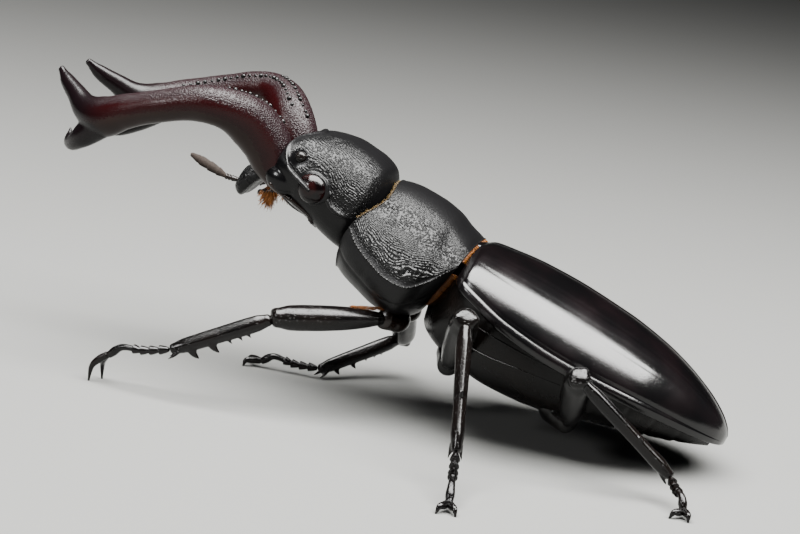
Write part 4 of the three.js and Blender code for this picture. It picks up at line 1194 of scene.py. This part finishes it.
# %% Making them
thighs = {}
for name, (*joints, tooth) in LEGS.items():
    pair, of_side = name.split("_")
    frame_of_hip, hips, femur_thick, tibia_thick, teeth, tibia_radii = LEG_PAIRS[pair]
    fore = frame_of_hip is PROTHORAX
    coxa, hip_joint = vectors(hips, dict(SIDES)[of_side])
    knee, ankle, sole, toe = vectors(joints)
    hip = ANIMAL.inverted() @ frame_of_hip @ hip_joint
    thighs[name] = hip, knee
    bent = (knee - hip.lerp(ankle, 0.5)).normalized()
    thigh, shin = (knee - hip).normalized(), (ankle - knee).normalized()
    hinge = thigh.cross(shin).normalized()

    socket = bmesh.new()
    bead(socket, coxa, 1, COXA_SIZE, 40)
    neck = [coxa, coxa.lerp(hip_joint, 0.6), hip_joint]
    limb(socket, neck, lambda t: femur_thick * (0.95 - 0.15 * t), BACK, 1.15, 32, 24)
    skin = fused(f"hip_{name}", socket, frame_of_hip, 0.16, 4)
    show_mesh(f"hip_{name}", skin, stem_shell if fore else leg_shell, "leg", f"coxa_{name}")

    femur = bmesh.new()
    start = hip + thigh * 0.5 * HIP_CLEARANCE
    radii = [femur_thick * value for value in FEMUR_RADII]
    limb(femur, [start, start.lerp(knee, 0.5), knee], radii, bent, 1, 36, 60, femur_section, 0.6)
    bead(femur, hip + thigh * (HIP_CLEARANCE + 0.4), 0.62 * femur_thick, (1.1, 1.1, 1), 28)
    for side in (1, -1):
        bead(femur, knee + hinge * side * 0.5 * femur_thick, 0.42 * femur_thick, segments=28)
    skin = fused(f"thigh_{name}", femur, ANIMAL, 0.15, 3)
    show_mesh(f"thigh_{name}", skin, leg_shell, "leg", f"femur_{name}")

    start = knee + shin * (0.5 * femur_thick + JOINT_GAP)
    length = (ankle - start).length
    across = shin.cross(UP if fore else bent).normalized()
    front = across.cross(shin)
    tibia = bmesh.new()
    radii = [tibia_thick * value for value in tibia_radii]
    limb(tibia, [start, start.lerp(ankle, 0.5), ankle], radii, front, 0.85, 32, 80, tibia_section)
    bead(tibia, start + shin * 0.2, 0.62 * tibia_thick + 0.1, segments=24)
    for t in teeth:
        size = tooth * float(0.58 + 0.55 * smoothstep(0.45, 0.55, t))
        way = math.copysign(1, size)
        root = start + shin * (t * length + 0.45 * abs(size)) + front * way * 0.4 * tibia_thick
        tip = start + shin * t * length + front * (way * tibia_thick + size)
        thorn(tibia, root, tip, 0.62 * abs(size), shin * 0.16 * abs(size), 14, 12, across)
    for side in (1, -1):
        root = start + shin * (length - 0.8) - front * 0.3 + across * side * 0.45
        tip = start + shin * (length + 0.9) - front * 0.9 + across * side * 0.8
        thorn(tibia, root, tip, 0.34, front * -0.1, 12, 12, across)
    skin = fused(f"shin_{name}", tibia, ANIMAL, 0.12, 2)
    show_mesh(f"shin_{name}", skin, leg_shell, "leg", f"tibia_{name}")

    sleeve = (sole - ankle).normalized()
    first = ankle + sleeve * 2 * ANKLE_CLEARANCE
    arch = [first.lerp(sole, t) + UP * lift for t, lift in ((0, 0), (0.45, 0.2), (0.8, 0.8), (1, 0))]
    foot = bmesh.new()
    limb(foot, arch, foot_radius, UP, 1, 20, 140)
    show(f"foot_{name}", foot, ANIMAL, leg_shell, "leg", f"tarsus_{name}")

    ahead = Vector((toe.x - sole.x, toe.y - sole.y, 0)).normalized()
    sideways = UP.cross(ahead)
    root = sole + sleeve * 2 * ANKLE_CLEARANCE
    claws = bmesh.new()
    for side in (1, -1):
        tip = toe + sideways * 1.1 * side
        tip.z = FLOOR
        bend = root.lerp(tip, 0.55) + ahead * 0.5 + sideways * 0.25 * side
        bend.z = max(bend.z, FLOOR + 0.4) + 0.35
        line = [root - sleeve * 0.3, root.lerp(bend, 0.5) + UP * 0.1, bend, tip]
        limb(claws, line, CLAW_RADII, UP, 0.9, 16, 40, None, 0.3)
    for vert in claws.verts:
        vert.co.z = max(vert.co.z, FLOOR)
    show(f"claw_pair_{name}", claws, ANIMAL, leg_shell, "leg", f"claws_{name}")

# %% [markdown]
# ## Hair
#
# Fringes of golden hair seal the gaps at the neck and behind the pronotum. Longer hair lies along the
# fore thighs, and the brushes of the mouth are tufts of it. Blender's particle hair would be lost if the
# model were exported, so each hair is a thin cone of mesh. A UV map gives every hair one small patch
# at its root's place.

# %% A tuft of hairs
HAIR_SIDES, HAIR_STEPS = 4, 3
HAIR_UV, HAIR_PATCH = "OFBake", 0.003


def one_hair():
    """A cone 1 high on a ring of radius 1. Its tip layer goes from 0 at the root to 1."""
    bm = bmesh.new()
    uv = bm.loops.layers.uv.new(HAIR_UV)
    fade = bm.verts.layers.float.new("tip")
    bmesh.ops.create_circle(bm, segments=HAIR_SIDES, radius=1)
    edges = bm.edges[:]
    bmesh.ops.edgeloop_fill(bm, edges=edges)
    for step in range(1, HAIR_STEPS + 1):
        made = bmesh.ops.extrude_edge_only(bm, edges=edges)["geom"]
        edges, verts = edges_of(made), verts_of(made)
        thin = 0.75 if step < HAIR_STEPS else 0.3
        bmesh.ops.scale(bm, vec=(thin, thin, 1), verts=verts)
        bmesh.ops.translate(bm, vec=(0, 0, 1 / HAIR_STEPS), verts=verts)
    bmesh.ops.edgeloop_fill(bm, edges=edges)
    bmesh.ops.recalc_face_normals(bm, faces=bm.faces)
    for vert in bm.verts:
        vert[fade] = vert.co.z
    for face in bm.faces:
        for k, loop in enumerate(face.loops):
            loop[uv].uv = Vector((k in (1, 2), k in (2, 3))) * HAIR_PATCH
    return placed("one_hair", bm, Matrix())


HAIR = one_hair()


def hairs(name, matrix, material, strands, *nodes):
    """Strands are (root, tip, radius, place along the fringe from 0 to 1, place across it)."""
    bm = bmesh.new()
    for _ in strands:
        bm.from_mesh(HAIR)
    points, faces = len(HAIR.vertices), len(HAIR.polygons)
    for k, vert in enumerate(bm.verts):
        root, tip, radius, _, _ = strands[k // points]
        axis = tip - root
        side = axis.orthogonal().normalized()
        rise = axis.cross(side).normalized()
        droop = side * axis.length * 0.06 * sin(pi * vert.co.z)
        vert.co = root + axis * vert.co.z + droop + (side * vert.co.x + rise * vert.co.y) * radius
    uv = bm.loops.layers.uv[HAIR_UV]
    for k, face in enumerate(bm.faces):
        _, _, _, along, across = strands[k // faces]
        for loop in face.loops:
            loop[uv].uv += Vector((0.02 + 0.95 * along, 0.02 + 0.95 * across))
    show(name, bm, matrix, material, "mouth_brush", *nodes, crease=0)


chance = random.Random(7)


def jitter(size):
    return Vector([chance.uniform(-size, size) for _ in range(3)])


# %% Fringes at the neck and behind the pronotum
FRINGES = (  # name, finish, hairs in a run, t, depth, length, way, radius; runs between two angles
    ("neck_fringe", golden_hair, 460, 1, 0.2, 0.32, -1, 0.028, ((14, 166),)),
    ("hind_fringe", orange_hair, 460, 0, 0.12, 0.38, 1, 0.03, ((22, 158),)),
    ("flank_fringe", orange_hair, 260, 0.03, 0.4, 0.9, 1, 0.05, ((-8, -70), (188, 250))),
)
for name, material, count, t, depth, length, way, radius, runs in FRINGES:
    strands = []
    for first, last in runs:
        for k in range(count):
            u = (k + chance.random()) / count
            angle = radians(first + (last - first) * u)
            root = off_plate(PRONOTUM_STATIONS, PRONOTUM, angle, t, -depth, pronotum_edge) + jitter(0.06)
            lean = Vector((-cos(angle) * 0.25, way, -sin(angle) * 0.25))
            tip = root + lean * length * chance.uniform(0.7, 1.15) + jitter(0.12)
            strands.append((root, tip, radius, u, chance.random()))
    hairs(name, PROTHORAX, material, strands)

# %% Hair on the fore thighs
THIGH_HAIRS, THIGH_HAIR_RADIUS = 300, 0.04
femur_thick = LEG_PAIRS["fore"][2]
for name in ("fore_left", "fore_right"):
    hip, knee = thighs[name]
    strands = []
    for _ in range(THIGH_HAIRS):
        u = chance.random()
        root = hip.lerp(knee, 0.44 * u - 0.1) + UP * femur_thick * (0.72 + 0.22 * u) + jitter(0.16)
        tip = root + (hip - knee).normalized() * chance.uniform(0.4, 0.9) + UP * 0.12 + jitter(0.08)
        strands.append((root, tip, THIGH_HAIR_RADIUS, u, chance.random()))
    hairs(f"thigh_hair_{name}", ANIMAL, brush_hair, strands)

# %% Brushes of the mouth
MAXILLA = ((2.5, -12.8, -2.4), (2.6, -12.8, -3.3), (2.5, -12.4, -4.4))
BRUSH_HAIRS, BRUSH_HAIR_RADIUS = 420, 0.075
for name, side in SIDES:
    line = vectors(MAXILLA, side)
    strands = []
    for _ in range(BRUSH_HAIRS):
        u = chance.random()
        root = through(line, u) + jitter(0.3)
        spread = Vector((0.45 * side + chance.uniform(-0.3, 0.3), chance.uniform(-0.4, 0.9), -0.9))
        tip = root + spread.normalized() * chance.uniform(1.3, 2.5) * (1.1 - 0.3 * u)
        strands.append((root, tip, BRUSH_HAIR_RADIUS, u, chance.random()))
    hairs(f"mouth_brush_{name}", HEAD, brush_hair, strands, f"maxilla_{name}")
